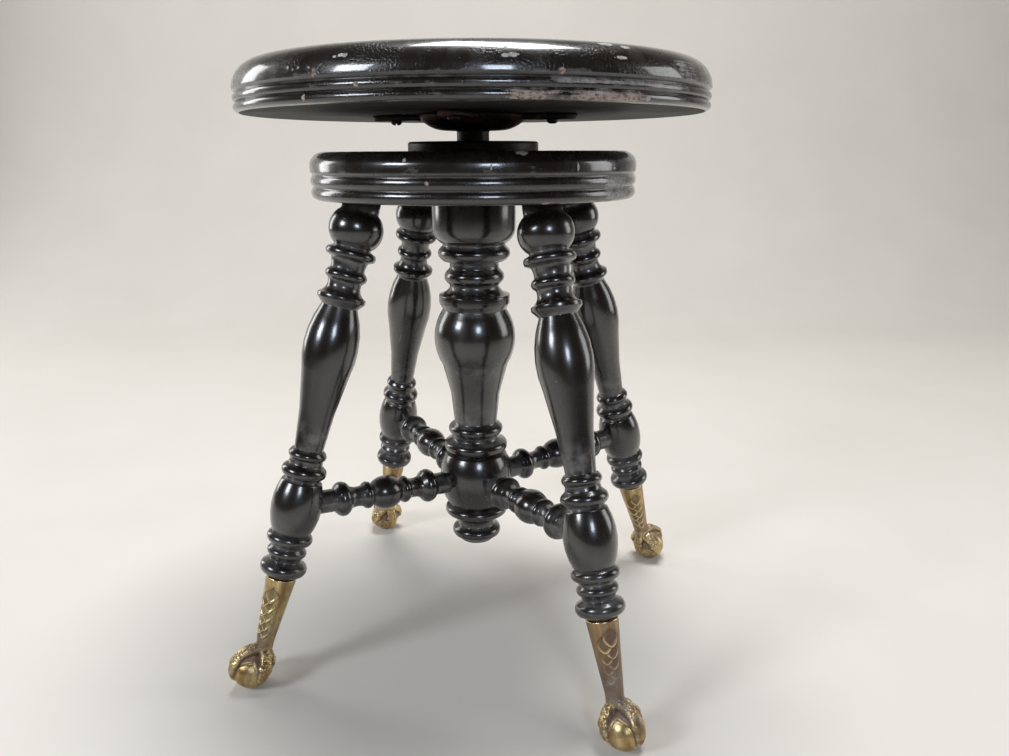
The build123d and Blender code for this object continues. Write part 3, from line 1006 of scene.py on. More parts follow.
for corner, turn in corner_turns.items():
    leg_form = spun(leg_outline(), steps=84, soften=0.6)
    bmesh.ops.transform(leg_form, matrix=leg_place(turn), verts=leg_form.verts)
    saw_off(leg_form, underside, 1)
    face_out(leg_form)
    finished(leg_form, f"turned_leg_{corner}", "base", [f"leg_{corner}"], "ebonised_wood", varnish)
print("legs", list(corner_turns))

# %% [markdown]
# ## The stretchers
# Four short spindles tie the legs to the post. Each has a ball between rings in its middle and a
# bead towards each end, and rises a little towards the leg.

# %% Stretchers
stretcher_low = 139.3
stretcher_high = 150.6
post_barrel = 32.2
leg_barrel = 20.1
seating = 17.0
barrel_drop = (underside - stretcher_high) / math.cos(splay)
barrel_reach = leg_circle + barrel_drop * math.sin(splay)
stretcher_slope = math.atan((stretcher_high - stretcher_low) / barrel_reach)
stretcher_start = post_barrel - seating
stretcher_end = barrel_reach / math.cos(stretcher_slope) - leg_barrel + seating


def stretcher_outline():
    """A stretcher along +Z, from the leg's end to the post's."""
    middle = (post_barrel + stretcher_end - seating) / 2
    return [
        (0, stretcher_end),
        (9.5, stretcher_end),
        *bead(middle + 39, 14.4, 14, 9.5),
        [8.3, middle + 27],
        *bead(middle + 17, 11.4, 9, 8.8),
        [14.2, middle],
        *bead(middle - 17, 11.4, 9, 8.8),
        [8.3, middle - 27],
        *bead(middle - 39, 14.4, 14, 9.5),
        (9.5, stretcher_start),
        (0, stretcher_start),
    ]


def stretcher_place(turn):
    """Origin on the post's axis, +Z along the stretcher."""
    slant = Matrix.Rotation(math.pi / 2 - stretcher_slope, 4, "Y")
    return rotation(turn) @ shift(0, 0, stretcher_low) @ slant


for corner, turn in corner_turns.items():
    form = spun(stretcher_outline(), steps=64, soften=0.5)
    bmesh.ops.transform(form, matrix=stretcher_place(turn), verts=form.verts)
    node = f"stretcher_{corner}"
    finished(form, f"turned_{node}", "base", [node], "ebonised_wood", varnish)
print("stretcher", round(stretcher_end - stretcher_start, 1), "mm long")

# %% [markdown]
# ## Brass
# The feet are cast brass that was lacquered once. The lacquer has gone: what hands and shoes touch
# is a worn yellow, wiped in streaks along the sleeve, and hollows are nearly brown. Crests are
# painted lighter still, partly as rubbed metal and partly as a painted highlight. Between the
# talons and round the ankle nothing ever rubbed, so a dull purple skin is left, with grey polish
# packed where the sleeve ends. One foot is much darker than the other three. Values written on the
# casting's points say how far it stands out, where dirt and painted shade lie at the scales, and
# where nothing touches it, so the patina sits in the carving.

# %% Brass
yellow = (0.43, 0.305, 0.135, 1)
light_yellow = (0.56, 0.42, 0.205, 1)
brown_streak = (0.27, 0.17, 0.075, 1)
wiped_streak = (0.74, 0.61, 0.33, 1)
olive = (0.29, 0.20, 0.085, 1)
rose_tint = (0.37, 0.235, 0.165, 1)
purple_skin = (0.165, 0.108, 0.092, 1)
grey_polish = (0.27, 0.245, 0.225, 1)
# Lighter crests: rubbed metal, and partly a painted highlight
rubbed_bright_and_highlight = (0.80, 0.65, 0.36, 1)
# Brown of patina in hollows, also used as painted shade in and under the scales
brown_hollow_and_shade = (0.060, 0.036, 0.024, 1)


def aged_brass(name, patina, rose, packing):
    """Cast brass. Patina is how far the purple skin spreads, rose how coppery the sleeve is, and
    packing how much old polish sits at the sleeve's foot."""
    made, tree, shader = material(name, Roughness=0.3)
    place = object_place(tree)
    up = height_of(tree, place)
    cloud = grain(tree, place, 120.0, 4.0, 0.6)
    broad = grain(tree, stretched(tree, place, (1.0, 1.0, 0.3)), 75.0, 4.0, 0.55)
    speckle = grain(tree, place, 700.0, 3.0, 0.6)
    wiped = grain(tree, stretched(tree, own_place(tree), (120.0, 120.0, 10.0)), 1.0, 3.0, 0.55)

    # Where it is rubbed bright with a painted highlight, where dirt and painted shade lie, where nothing
    # touches it
    proud = plus(tree, own_value(tree, "crest"), calc(tree, "SUBTRACT", cloud, 0.5))
    bright_crest_and_highlight = fade(tree, proud, 0.1, 0.8)
    dirt_and_shade = times(tree, own_value(tree, "scale_dirt_and_shade"), plus(tree, 0.35, cloud))
    # Dark where the crest sinks (brown patina in hollows) and where the scales carry dirt and painted shade
    deep = larger(tree, rest_of(tree, fade(tree, proud, -0.9, -0.05)), times(tree, dirt_and_shade, 0.85))
    shade = plus(tree, times(tree, own_value(tree, "untouched"), patina), times(tree, broad, 1.3))
    untouched = times(tree, fade(tree, shade, 0.74, 1.12), rest_of(tree, times(tree, bright_crest_and_highlight, 0.8)))
    sleeve_foot = times(tree, fade(tree, up, 0.066, 0.048), fade(tree, up, 0.026, 0.036))
    packed = times(tree, times(tree, sleeve_foot, fade(tree, cloud, 0.36, 0.62)), packing)

    colour = laid_over(tree, mix(tree, speckle, yellow, light_yellow), (
        (fade(tree, wiped, 0.5, 0.62), 0.75, brown_streak),
        (fade(tree, wiped, 0.47, 0.38), 0.6, wiped_streak),
        (fade(tree, cloud, 0.5, 0.66), 0.7, olive),
        (fade(tree, up, 0.036, 0.052), rose, rose_tint),
        (untouched, 0.8, purple_skin),
        (packed, 1.0, grey_polish),
        # Crests lighter: rubbed metal, and partly a painted highlight
        (bright_crest_and_highlight, 0.85, rubbed_bright_and_highlight),
        # Brown patina in hollows, and painted shade and dirt in and under the scales
        (deep, 0.85, brown_hollow_and_shade),
    ))
    tree.links.new(colour, shader.inputs["Base Color"])

    # Skin and dirt, with the painted shade, are no metal, and duller
    dull = larger(tree, larger(tree, deep, times(tree, untouched, 0.6)), packed)
    tree.links.new(rest_of(tree, times(tree, dull, 0.5)), shader.inputs["Metallic"])
    gloss = plus(tree, plus(tree, 0.24, times(tree, cloud, 0.2)), times(tree, dull, 0.22))
    gloss = calc(tree, "SUBTRACT", gloss, times(tree, bright_crest_and_highlight, 0.12))
    tree.links.new(gloss, shader.inputs["Roughness"])
    sinews = grain(tree, stretched(tree, place, (1.0, 1.0, 0.4)), 420.0, 3.0, 0.6)
    sinews = times(tree, sinews, times(tree, untouched, 7.0))
    bump(tree, shader, plus(tree, plus(tree, speckle, cloud), sinews), 0.4, 0.00025)
    return made


brass = aged_brass("aged_brass", patina=0.85, rose=0.0, packing=0.25)
darker_brass = aged_brass("darker_brass", patina=2.7, rose=0.4, packing=0.75)
print("brass nodes:", len(brass.node_tree.nodes))

# %% [markdown]
# ## Claw-and-ball feet
# Each foot is one casting: a tapering sleeve with two rows of scales on one side, and four talons
# with two knuckles each that grip a ball. Modelling all of it as one cage would be slow and stiff.
# Here every form is a closed shell of its own, set deep in its neighbours, and a voxel remesh
# melts them into one skin, as the founder's metal did. The sizes come first, in millimetres.

# %% Sizes of a foot
ankle_height = 37.4
sleeve_rim = 12.3
sleeve_end = 7.0
sleeve_lean = 2.0
ball_radius = 15.3
ball_height = 15.0
ball_reach = 15.5
ankle_radius = leg_circle + (underside - ankle_height) * math.tan(splay)
sleeve_length = (foot_rim - ankle_height) / math.cos(splay)
casting_grid = 0.4
# A talon's knuckles: share of the way from ankle to tip, width and thickness of a talon there
talon_knuckles = (
    (0.0, 9.5, 9.5),
    (0.18, 10.0, 8.8),
    (0.3, 9.6, 7.2),
    (0.46, 12.0, 7.0),
    (0.6, 9.8, 5.6),
    (0.68, 9.6, 5.6),
    (0.86, 6.6, 4.4),
    (1.0, 1.6, 1.6),
)
# How far a tip reaches below the ball's middle in degrees, how far a talon bows outward on its
# way, and how deep it is sunk into the ball
tip_drop = 24
talon_bow = 0.32
talon_sunk = 1.6
talon_sections = 34
talon_sides = 20
# The skin between the talons: its thickness, how far it reaches down from the ankle in the middle
# of a gap and beside a talon, how far from a talon that changes, and over how much of its end it
# thins, in degrees. Below its edge it is sunk into the ball.
web_thickness = 1.3
web_middle = 54.0
web_beside = 104.0
web_arch = 48
web_thinning = 7
web_sunk = 1.5
# The first scale's half height and half width, what each row loses of both, and the rows' spacing
# and sideways shift as shares of a scale
scale_half_height = 7.2
scale_half_width = 5.8
scale_shrink = 0.22
row_spacing = 0.66
row_shift = 0.46
# Plain metal above and below the scales, and how far round they may reach, as an angle
plain_end = 4
scaled_side = 1.2
# The grains punched on the knuckles, and how far off the ball a talon's back is high enough for them
grain_spacing = 2.1
grain_height = 0.42
grains_from = 2.4
print("sleeve", round(sleeve_length, 1), "mm long, ankle", round(ankle_radius, 1), "mm out")

# %% [markdown]
# ### The sleeve and its scales
# The sleeve is a plain cone that leans with its leg. The scales stand in two staggered columns on
# one side, each lapping over the next, and were cut in the founder's pattern, so they are shallow
# and their edges are soft. Separate little plates would look stuck on. Instead the cast skin itself
# is lifted, by an amount worked out at each point of the unrolled sleeve. The same sum says where
# the brass is painted darker inside a scale and just outside its edges, partly as dirt and partly as
# painted shade, and the brass reads that.


# %% Sleeve and its scales
def sleeve_at(height):
    """The sleeve's radius at a height in the leg's own frame."""
    share = (-leg_length - height) / sleeve_length
    return sleeve_rim + (sleeve_end - sleeve_rim) * min(max(share, 0), 1)


def sleeve():
    """The tapering sleeve, in the leg's own frame."""
    rim = -leg_length - 0.4
    ankle = rim - sleeve_length
    outline = [(0, rim), (sleeve_rim, rim), (sleeve_end, ankle), (sleeve_end + 0.3, ankle - 9)]
    return spun(outline + [(0, ankle - 11)], steps=72, soften=0.3)


def scale_lift(across, down, first, rows, roundness, fading):
    """How far two staggered columns of scales rise at a place on the unrolled sleeve, in
    millimetres, and how much dirt and painted shade lie there. A higher roundness makes a fuller scale."""
    level = first
    outside = 9
    for row in range(rows):
        half_height = scale_half_height - scale_shrink * row
        half_width = scale_half_width - scale_shrink * row
        side = 1 if row % 2 == 0 else -1
        sideways = abs(across - side * half_width * row_shift) / half_width
        slope = (down - level) / half_height
        off_middle = (sideways ** roundness + abs(slope) ** roundness) ** (1 / roundness)
        fresh = max(0.12, 1 - fading * row)
        if off_middle < 1:
            ridge = min(1, max(0, (off_middle - 0.54) / 0.2)) * min(1, (1 - off_middle) / 0.08)
            ridge *= min(1, max(0.1, 0.55 + 1.1 * slope))
            lift = fresh * (0.2 + 0.7 * slope + 0.6 * ridge)
            return lift, fresh * max(0.8 * (1 - ridge), 0.2 - slope)
        outside = min(outside, (off_middle - 1) / fresh)
        level += half_height * row_spacing
    return 0, 0.9 * max(0, 1 - outside / 0.28)


def melted_in(form, other):
    """Adds another form's shells to a form."""
    mesh = mesh_of(other, "shell")
    form.from_mesh(mesh)
    bpy.data.meshes.remove(mesh)


def leaning_sleeve(turn):
    """The sleeve in place, its ankle drawn a little outward."""
    form = sleeve()
    for vert in form.verts:
        down = max(0, -leg_length - vert.co.z / mm) / sleeve_length
        vert.co.x += sleeve_lean * down * mm
    bmesh.ops.transform(form, matrix=leg_place(turn), verts=form.verts)
    return form


def carve_scales(form, turn, facing, depth, *pattern):
    """Raises the scales on the side of a cast sleeve that faces a bearing."""
    place = leg_place(turn)
    back = place.inverted()
    front = math.radians(facing - turn)
    lengthways = form.verts.layers.float_vector.new("on_the_lathe")
    scale_dirt_and_shade = form.verts.layers.float.new("scale_dirt_and_shade")
    for vert in form.verts:
        vert[lengthways] = back @ vert.co
        own = back @ vert.co / mm
        down = -leg_length - own.z
        if not plain_end < down < sleeve_length - plain_end:
            continue
        own.x -= sleeve_lean * down / sleeve_length
        bearing = math.remainder(math.atan2(own.y, own.x) - front, math.tau)
        if abs(bearing) < scaled_side:
            lift, shade = scale_lift(bearing * sleeve_at(own.z), down, *pattern)
            way = place.to_3x3() @ Vector((math.cos(bearing + front), math.sin(bearing + front), 0))
            vert.co += way * depth * lift * mm
            # How dark the brass is painted here: dirt and painted shade inside and round the scales
            vert[scale_dirt_and_shade] = shade


print("sleeve's radius halfway", round(sleeve_at(-leg_length - sleeve_length / 2), 1), "mm")

# %% [markdown]
# ### Talons, ball and skin
# A talon is a row of rounded sections that follow the ball from the ankle to the tip and swell at
# two knuckles. Bridging the sections keeps it one closed form whose knuckles are a short list of
# widths and thicknesses. It bows a little outward on its way down, as a bird's toe does. The skin
# between the talons is a slightly larger ball with an arch cut out of it in every gap.


# %% Talons and ball
def knuckle_at(share):
    """Width and thickness of a talon, smoothly between its knuckles."""
    for before, after in zip(talon_knuckles, talon_knuckles[1:]):
        if share <= after[0]:
            part = (share - before[0]) / (after[0] - before[0])
            part = part * part * (3 - 2 * part)
            return [low + (high - low) * part for low, high in zip(before[1:], after[1:])]
    return talon_knuckles[-1][1:]


def towards_ankle(outward):
    """The direction from the ball's middle up to the ankle."""
    return (Vector((0, 0, ankle_height - ball_height)) - outward * ball_reach).normalized()


def talon(middle, outward, spread):
    """A knuckled talon: rounded sections along the ball, from the ankle to the tip, bridged."""
    form = bmesh.new()
    ankle = towards_ankle(outward)
    drop = math.radians(tip_drop)
    sideways = Vector((math.cos(spread), math.sin(spread), 0))
    tip = sideways * math.cos(drop) - Vector((0, 0, math.sin(drop)))

    def way(share):
        bow = talon_bow * math.sin(math.pi * min(max(share, 0), 1))
        return (ankle.slerp(tip, share) + sideways * bow).normalized()

    loops = []
    for step in range(talon_sections + 1):
        share = step / talon_sections
        width, thickness = knuckle_at(share)
        away = way(share)
        along = (way(min(share + 0.02, 1)) - way(max(share - 0.02, 0))).normalized()
        side = along.cross(away).normalized()
        centre = (middle + away * (ball_radius - talon_sunk + thickness / 2)) * mm
        basis = Matrix((side * width / 2, away * thickness / 2, side.cross(away))).transposed()
        place = Matrix.Translation(centre) @ (basis * mm).to_4x4()
        circle = bmesh.ops.create_circle(form, cap_ends=False, radius=1, segments=talon_sides)
        ring = circle["verts"]
        for vert in ring:
            vert.co.x = math.copysign(abs(vert.co.x) ** 0.75, vert.co.x)
            vert.co.y = math.copysign(abs(vert.co.y) ** 0.85, vert.co.y)
            vert.co = place @ vert.co
        loops.append(list({edge for vert in ring for edge in vert.link_edges}))
    for one, other in zip(loops, loops[1:]):
        bmesh.ops.bridge_loops(form, edges=one + other)
    bmesh.ops.contextual_create(form, geom=loops[0])
    bmesh.ops.contextual_create(form, geom=loops[-1])
    face_out(form)
    return form


def web(middle, outward, spreads):
    """The skin between the talons: a cap on the ball with an arch cut out of it in every gap."""
    ankle = towards_ankle(outward)
    side = ankle.orthogonal().normalized()
    front = ankle.cross(side)
    bearings = []
    for spread in spreads:
        tip = Vector((math.cos(spread), math.sin(spread), -0.4))
        bearings.append(math.atan2(tip.dot(front), tip.dot(side)))
    form = bmesh.new()
    bmesh.ops.create_uvsphere(form, u_segments=96, v_segments=64, radius=1)
    bearings.sort()
    gaps = list(zip(bearings, bearings[1:] + [bearings[0] + math.tau]))
    for vert in form.verts:
        polar = math.degrees(math.acos(max(-1, min(1, vert.co.z))))
        bearing = math.atan2(vert.co.y, vert.co.x)
        first, last = next(
            gap for gap in gaps if (bearing - gap[0]) % math.tau <= gap[1] - gap[0] + 1e-6
        )
        nearest = min((bearing - first) % math.tau, (last - bearing) % math.tau)
        arch = max(0, 1 - nearest / math.radians(web_arch))
        edge = web_middle + (web_beside - web_middle) * arch
        thinning = min(1, max(0, (edge - polar) / web_thinning)) ** 0.5
        thick = web_thickness * thinning if polar < edge else -web_sunk
        away = side * vert.co.x + front * vert.co.y + ankle * vert.co.z
        vert.co = (middle + away * (ball_radius + thick)) * mm
    face_out(form)
    return form


def claw(turn, facing):
    """The ball with its four talons, in place."""
    bearing = math.radians(turn)
    outward = Vector((math.cos(bearing), math.sin(bearing), 0))
    middle = outward * (ankle_radius + ball_reach) + Vector((0, 0, ball_height))
    form = bmesh.new()
    bmesh.ops.create_uvsphere(
        form, u_segments=64, v_segments=32, radius=ball_radius * mm,
        matrix=Matrix.Translation(middle * mm),
    )
    spreads = [math.radians(facing + 45 + 90 * step) for step in range(4)]
    for spread in spreads:
        melted_in(form, talon(middle, outward, spread))
    melted_in(form, web(middle, outward, spreads))
    return form, middle


print("a talon has", len(talon(Vector((0, 0, 15)), Vector((1, 0, 0)), 0.5).faces), "faces before casting")

# %% [markdown]
# ### Casting the feet
# The remesh makes the skin, and a little smoothing rounds its joints like a sand casting's. Then
# the fine work follows in the order of the real shop: scales, grains punched on the knuckles, and
# last the wear and the painted highlight on crests, read from how far each point stands out from a
# smoothed copy of the foot. The castings differ, as old ones do, in how crisp their scales are and
# which talon was rubbed smooth.


# %% Casting
def cast(form, name, grid, rounds):
    """Melts closed shells that overlap into one skin and smooths it a little."""
    mould = mesh_of(form, name)
    blank = in_scene(name, mould)
    melt = blank.modifiers.new("melt", "REMESH")
    melt.mode = "VOXEL"
    melt.voxel_size = grid * mm
    melted = blank.evaluated_get(bpy.context.evaluated_depsgraph_get())
    skin = bpy.data.meshes.new_from_object(melted)
    bpy.data.objects.remove(blank)
    bpy.data.meshes.remove(mould)
    metal = bmesh.new()
    metal.from_mesh(skin)
    bpy.data.meshes.remove(skin)
    rubbed_smooth(metal, rounds)
    return metal


def rubbed_smooth(form, rounds):
    """Smooths a form all over, a given number of times."""
    for _ in range(rounds):
        bmesh.ops.smooth_vert(
            form, verts=form.verts, factor=0.5, use_axis_x=True, use_axis_y=True, use_axis_z=True
        )


def write_relief(form, rounds, reach):
    """Writes crest on a casting: how far each point stands out from a smoothed copy, over reach."""
    crest = form.verts.layers.float.new("crest")
    calm = form.copy()
    rubbed_smooth(calm, rounds)
    form.normal_update()
    for vert, flat in zip(form.verts, calm.verts):
        vert[crest] = (vert.co - flat.co).dot(vert.normal) / (reach * mm)
    calm.free()


def pebbled(form, middle, smooth_side, smooth_up_to):
    """Small round grains on the backs of the knuckles, as the pattern maker punched them.
    The talon on one side has been rubbed smooth up to a height above the ball's middle."""
    for vert in form.verts:
        away = vert.co - middle * mm
        proud = away.length / mm - ball_radius
        smoother = 0.5 + 0.5 * math.cos(math.atan2(away.y, away.x) - math.radians(smooth_side))
        lowest = 0.5 + smooth_up_to * smoother ** 3
        if proud < grains_from or away.z < lowest * mm or vert.co.z > (ankle_height + 1) * mm:
            continue
        grains = noise.voronoi(vert.co / mm / grain_spacing)[0][0]
        lift = grain_height * (1 - min(1, grains / 0.6) ** 2) * min(1, (proud - grains_from) / 1.2)
        vert.co += away.normalized() * lift * min(1, (away.z / mm - lowest) / 2.5) * mm


def write_untouched(form, middle):
    """Writes where hands and shoes never reach: between the talons and round the ankle."""
    untouched = form.verts.layers.float.new("untouched")
    for vert in form.verts:
        away = vert.co - middle * mm
        proud = away.length / mm - ball_radius
        height = vert.co.z / mm
        if height > ankle_height - 2:
            vert[untouched] = 0.22 * max(0, 1 - max(0, height - ankle_height) / 34) + 0.08
        elif 0.6 < proud < 3.4 and away.z > 0:
            vert[untouched] = 0.75
        else:
            vert[untouched] = 0.1 * min(1, max(0, proud))


# For each casting: the bearing of its claw. The bearing of the talon that was rubbed smooth, and up
# to which height. Then its scales: bearing, depth, first drop, rows, roundness and fading.
foot_castings = {
    "front_left": (-88, (-133, 8), (-100, 1.1, 14.5, 10, 1.15, 0.02)),
    "front_right": (-88, (-43, 17), (-74, 0.9, 13.0, 8, 1.6, 0.14)),
    "back_left": (-84, (51, 9), (-84, 0.95, 15.0, 10, 1.3, 0.05)),
    "back_right": (-84, (51, 9), (-84, 0.95, 15.0, 10, 1.3, 0.05)),
}
for corner, turn in corner_turns.items():
    facing, smooth, scales = foot_castings[corner]
    form, middle = claw(turn, facing)
    melted_in(form, leaning_sleeve(turn))
    form = cast(form, f"cast_foot_{corner}", casting_grid, rounds=2)
    write_untouched(form, middle)
    carve_scales(form, turn, *scales)
    pebbled(form, middle, *smooth)
    for vert in form.verts:
        vert.co.z = max(vert.co.z, 0)
    face_out(form)
    write_relief(form, rounds=14, reach=0.3)
    metal = darker_brass if corner == "front_right" else brass
    foot = finished(form, f"cast_foot_{corner}", "base", [f"claw_foot_{corner}"], "brass", metal)
print("a foot has", len(foot.data.polygons), "faces")

# %% [markdown]
# ## Iron
# The spider under the seat, the nut plate on the platform and the screw are iron castings that
# were once painted black. The paint has gone brown, with rust where it rubs and in the corners.

# %% Iron
brown_paint = (0.016, 0.011, 0.009, 1)
faded_paint = (0.035, 0.024, 0.018, 1)
brown_rust = (0.085, 0.038, 0.020, 1)
worn_steel = (0.05, 0.045, 0.042, 1)
oily_rust = (0.06, 0.035, 0.022, 1)


def rusty_iron(name, paint=brown_paint, rust=brown_rust, rusted=0.5):
    """Old paint on iron, rusting through in patches."""
    made, tree, shader = material(name, Roughness=0.6)
    place = object_place(tree)
    cloud = grain(tree, place, 65.0, 6.0, 0.65)
    grit = grain(tree, place, 900.0, 3.0, 0.7)
    patch = fade(tree, cloud, 1.0 - rusted, 1.18 - rusted)
    rust_tone = mix(tree, grit, rust, tuple(channel * 1.9 for channel in rust[:3]) + (1,))
    colour = mix(tree, patch, mix(tree, cloud, paint, faded_paint), rust_tone)
    tree.links.new(colour, shader.inputs["Base Color"])
    tree.links.new(plus(tree, 0.42, times(tree, patch, 0.4)), shader.inputs["Roughness"])
    bare_metal = calc(tree, "SUBTRACT", 0.35, times(tree, patch, 0.35))
    tree.links.new(bare_metal, shader.inputs["Metallic"])
    bump(tree, shader, plus(tree, times(tree, grit, 0.5), cloud), 0.55, 0.0005)
    return made


iron = rusty_iron("rusty_iron")
screw_iron = rusty_iron("worn_screw_iron", worn_steel, oily_rust, 0.42)
print("iron:", iron.name, screw_iron.name)

# %% [markdown]
# ## The spider under the seat
# Four flat arms run out from a hub that flares down to the screw. Like the feet it is one casting,
# so it is melted together from a turned hub and four arms.

# %% Spider
spider_turn = 2.5
spider_reach = 81.0
arm_start = 10
arm_thickness = 4.0
arm_ease = 1.2
arm_round = 9.0
arm_root = 14
spider_grid = 0.7
hub_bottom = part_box("seat_spider")[0].z / mm


def spider_hub():
    """The flared hub."""
    arms = seat_bottom - arm_thickness
    return spun([
        (0, seat_bottom), (42, seat_bottom), (40, arms), [32.3, arms - 5.0], (21.7, hub_bottom + 0.4),
        (0, hub_bottom),
    ], steps=72, soften=1.0)


def spider_arm(turn):
    """A flat arm with a round end and an eased lower rim."""
    form = bmesh.new()
    end = spider_reach - arm_round
    outline = [(arm_start, -arm_root), (end, -arm_round)]
    for step in range(1, 12):
        bearing = math.radians(-90 + step * 15)
        outline.append((end + arm_round * math.cos(bearing), arm_round * math.sin(bearing)))
    outline += [(end, arm_round), (arm_start, arm_root)]
    plate = form.faces.new([form.verts.new((x * mm, y * mm, seat_bottom * mm)) for x, y in outline])
    lower = bmesh.ops.extrude_face_region(form, geom=[plate])["geom"]
    verts = [part for part in lower if isinstance(part, bmesh.types.BMVert)]
    bmesh.ops.translate(form, verts=verts, vec=(0, 0, -arm_thickness * mm))
    rim = [edge for edge in form.edges if all(vert in verts for vert in edge.verts)]
    bmesh.ops.bevel(
        form, geom=rim, offset=arm_ease * mm, offset_type="OFFSET", segments=3, profile=0.5,
        affect="EDGES", material=-1,
    )
    face_out(form)
    bmesh.ops.rotate(form, verts=form.verts, matrix=rotation(turn).to_3x3())
    return form


spider_form = spider_hub()
for step in range(4):
    melted_in(spider_form, spider_arm(spider_turn + 90 * step))
spider_form = cast(spider_form, "cast_spider", spider_grid, rounds=3)
face_out(spider_form)
write_relief(spider_form, rounds=10, reach=0.3)
spider = finished(spider_form, "cast_spider", "seat", ["seat_spider"], "cast_iron", iron)
print("spider", len(spider.data.polygons), "faces, hub", round(hub_bottom, 1), "mm above the floor")

# %% [markdown]
# ## Wood screws
# The heads are slotted, as all wood screws of that age are. A head is spun like any turning, cut
# along both sides of the slot, and the strip between the cuts is pressed down.

# %% Screw heads
slot_side = 0.5
slot_wall = 0.08


def slotted(outline, slot_floor):
    """A screw with its head at Z = 0 and its point downwards, with a slot across the head."""
    form = spun(outline, steps=40, soften=0.15)
    for side in (slot_side, -slot_side, slot_side + slot_wall, -slot_side - slot_wall):
        bmesh.ops.bisect_plane(
            form, geom=form.verts[:] + form.edges[:] + form.faces[:],
            plane_co=(side * mm, 0, 0), plane_no=(1, 0, 0),
        )
    for vert in form.verts:
        if abs(vert.co.x) < (slot_side + slot_wall / 4) * mm:
            vert.co.z = min(vert.co.z, slot_floor * mm)
    return form


def set_screws(name, body, node, screw, places, surface):
    """Copies of one screw at several places, as one piece."""
    form = bmesh.new()
    for place in places:
        copy = screw.copy()
        bmesh.ops.transform(copy, matrix=place, verts=copy.verts)
        melted_in(form, copy)
    screw.free()
    return finished(form, name, body, [node], "steel", surface)


shank = [(2.2, -12.0), (0.3, -17.5), (0, -17.5)]
dome = [(0, 3.0), (1.4, 2.95), [3.6, 2.1], (4.6, 0.0), (2.2, -0.05)] + shank
flush = [(0, 0.0), (4.6, 0.0), (2.2, -2.6)] + shank
screw_circle = 62
plate_circle = 36
under_arms = [
    rotation(spider_turn + 90 * step) @ shift(screw_circle, 0, seat_bottom - arm_thickness)
    @ rotation(180, "X") @ rotation(25 + 70 * step)
    for step in range(4)
]
plate_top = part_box("nut_plate")[1].z / mm
on_plate = [
    rotation(90 + 120 * step) @ shift(plate_circle, 0, plate_top - 0.1) @ rotation(40 + 50 * step)
    for step in range(3)
]
set_screws("round_head_screws", "seat", "spider_screws", slotted(dome, 1.6), under_arms, screw_iron)
set_screws("flush_screws", "base", "nut_plate_screws", slotted(flush, -1.1), on_plate, screw_iron)
print("screws set:", len(under_arms) + len(on_plate))

# %% [markdown]
# ## The nut plate
# A plain round plate with its threaded boss let into the platform. It keeps the frame's own shape,
# with its edges eased: a copy of the node is welded, and its sharp edges are bevelled.

# %% Nut plate
sharp_edge = 28


def eased_copy(node, ease):
    """A copy of a node's mesh, welded, with its sharp edges rounded."""
    form = bmesh.new()
    form.from_mesh(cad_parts[node].data)
    bmesh.ops.remove_doubles(form, verts=form.verts, dist=0.004 * mm)
    bmesh.ops.dissolve_limit(form, angle_limit=math.radians(0.5), verts=form.verts, edges=form.edges)
    sharp = [
        edge for edge in form.edges
        if edge.is_manifold and edge.calc_face_angle(0) > math.radians(sharp_edge)
    ]
    bmesh.ops.bevel(
        form, geom=sharp, offset=ease * mm, offset_type="OFFSET", segments=3, profile=0.5,
        affect="EDGES", material=-1, clamp_overlap=True,
    )
    return form


plate_form = eased_copy("nut_plate", ease=0.45)
plate = finished(plate_form, "eased_nut_plate", "base", ["nut_plate"], "cast_iron", iron)
print("nut plate", len(plate.data.polygons), "faces")

# %% [markdown]
# ## The lift screw
# The screw has four square threads to the inch. A thread is one pitch of its section, swept round
# and up at once. The sweep starts and ends beyond the screw and is then cut off square, which is
# simpler than closing a running-out thread. Above it a plain neck runs up into the hub, and below
# it a thinner stem goes through the stop washer.

# %% Lift screw
screw_pitch = 6.35
screw_crest = 12.65
screw_root = 10.2
thread_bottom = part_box("stop_washer")[1].z / mm + 0.2
thread_top = hub_bottom - 9.5


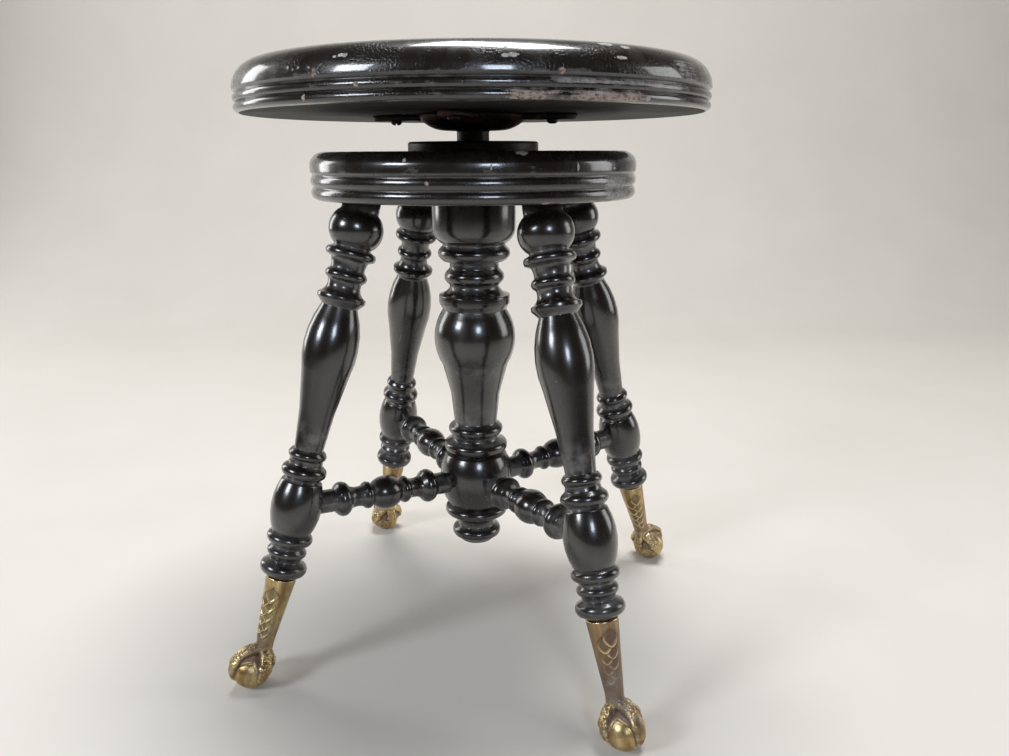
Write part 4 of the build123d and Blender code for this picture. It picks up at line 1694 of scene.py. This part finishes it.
def screw_thread(bottom, top):
    """A right-hand square thread between two heights, closed at both ends."""
    form = bmesh.new()
    section = [
        (screw_root, 0.0), (screw_root, 2.1), (screw_root + 0.25, 2.5), (screw_crest - 0.3, 3.1),
        (screw_crest, 3.4), (screw_crest, 5.2), (screw_crest - 0.3, 5.5), (screw_root + 0.25, 6.1),
        (screw_root, screw_pitch),
    ]
    start = bottom - 1.5 * screw_pitch
    line = [form.verts.new((radius * mm, 0, (start + rise) * mm)) for radius, rise in section]
    edges = [form.edges.new(pair) for pair in zip(line, line[1:])]
    turns = math.ceil((top - bottom) / screw_pitch) + 3
    steps = 56
    bmesh.ops.spin(
        form, geom=line + edges, cent=(0, 0, 0), axis=(0, 0, 1),
        dvec=(0, 0, screw_pitch / steps * mm), angle=math.tau * turns, steps=steps * turns,
    )
    bmesh.ops.remove_doubles(form, verts=form.verts, dist=0.01 * mm)
    saw_off(form, bottom, -1)
    saw_off(form, top, 1)
    face_out(form)
    return form


screw_form = screw_thread(thread_bottom, thread_top)
neck = [
    (0, seat_bottom - 1), (8.9, seat_bottom - 1), (8.9, hub_bottom), (13.2, hub_bottom),
    (12.6, hub_bottom - 0.45), (12.6, thread_top), (screw_root, thread_top - 1.5), (0, thread_top - 1.5),
]
stem = [
    (0, thread_bottom + 2), (6, thread_bottom + 2), (6, thread_bottom - 9.4),
    (5.2, thread_bottom - 10), (0, thread_bottom - 10),
]
melted_in(screw_form, spun(neck, steps=64, soften=0.3))
melted_in(screw_form, spun(stem, steps=48, soften=0.2))
screw = finished(screw_form, "threaded_lift_screw", "seat", ["lift_screw"], "steel", screw_iron)
print("thread from", round(thread_bottom, 1), "to", round(thread_top, 1), "mm")

# %% [markdown]
# ## Hidden ironwork
# The stop washer and its cross pin are hidden in the post's bore. They keep the frame's own
# shape and only get the screw's finish.

# %% Washer and pin
for node in ("stop_washer", "stop_pin"):
    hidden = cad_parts[node].data.materials
    hidden.clear()
    hidden.append(screw_iron)
print("hidden ironwork finished")
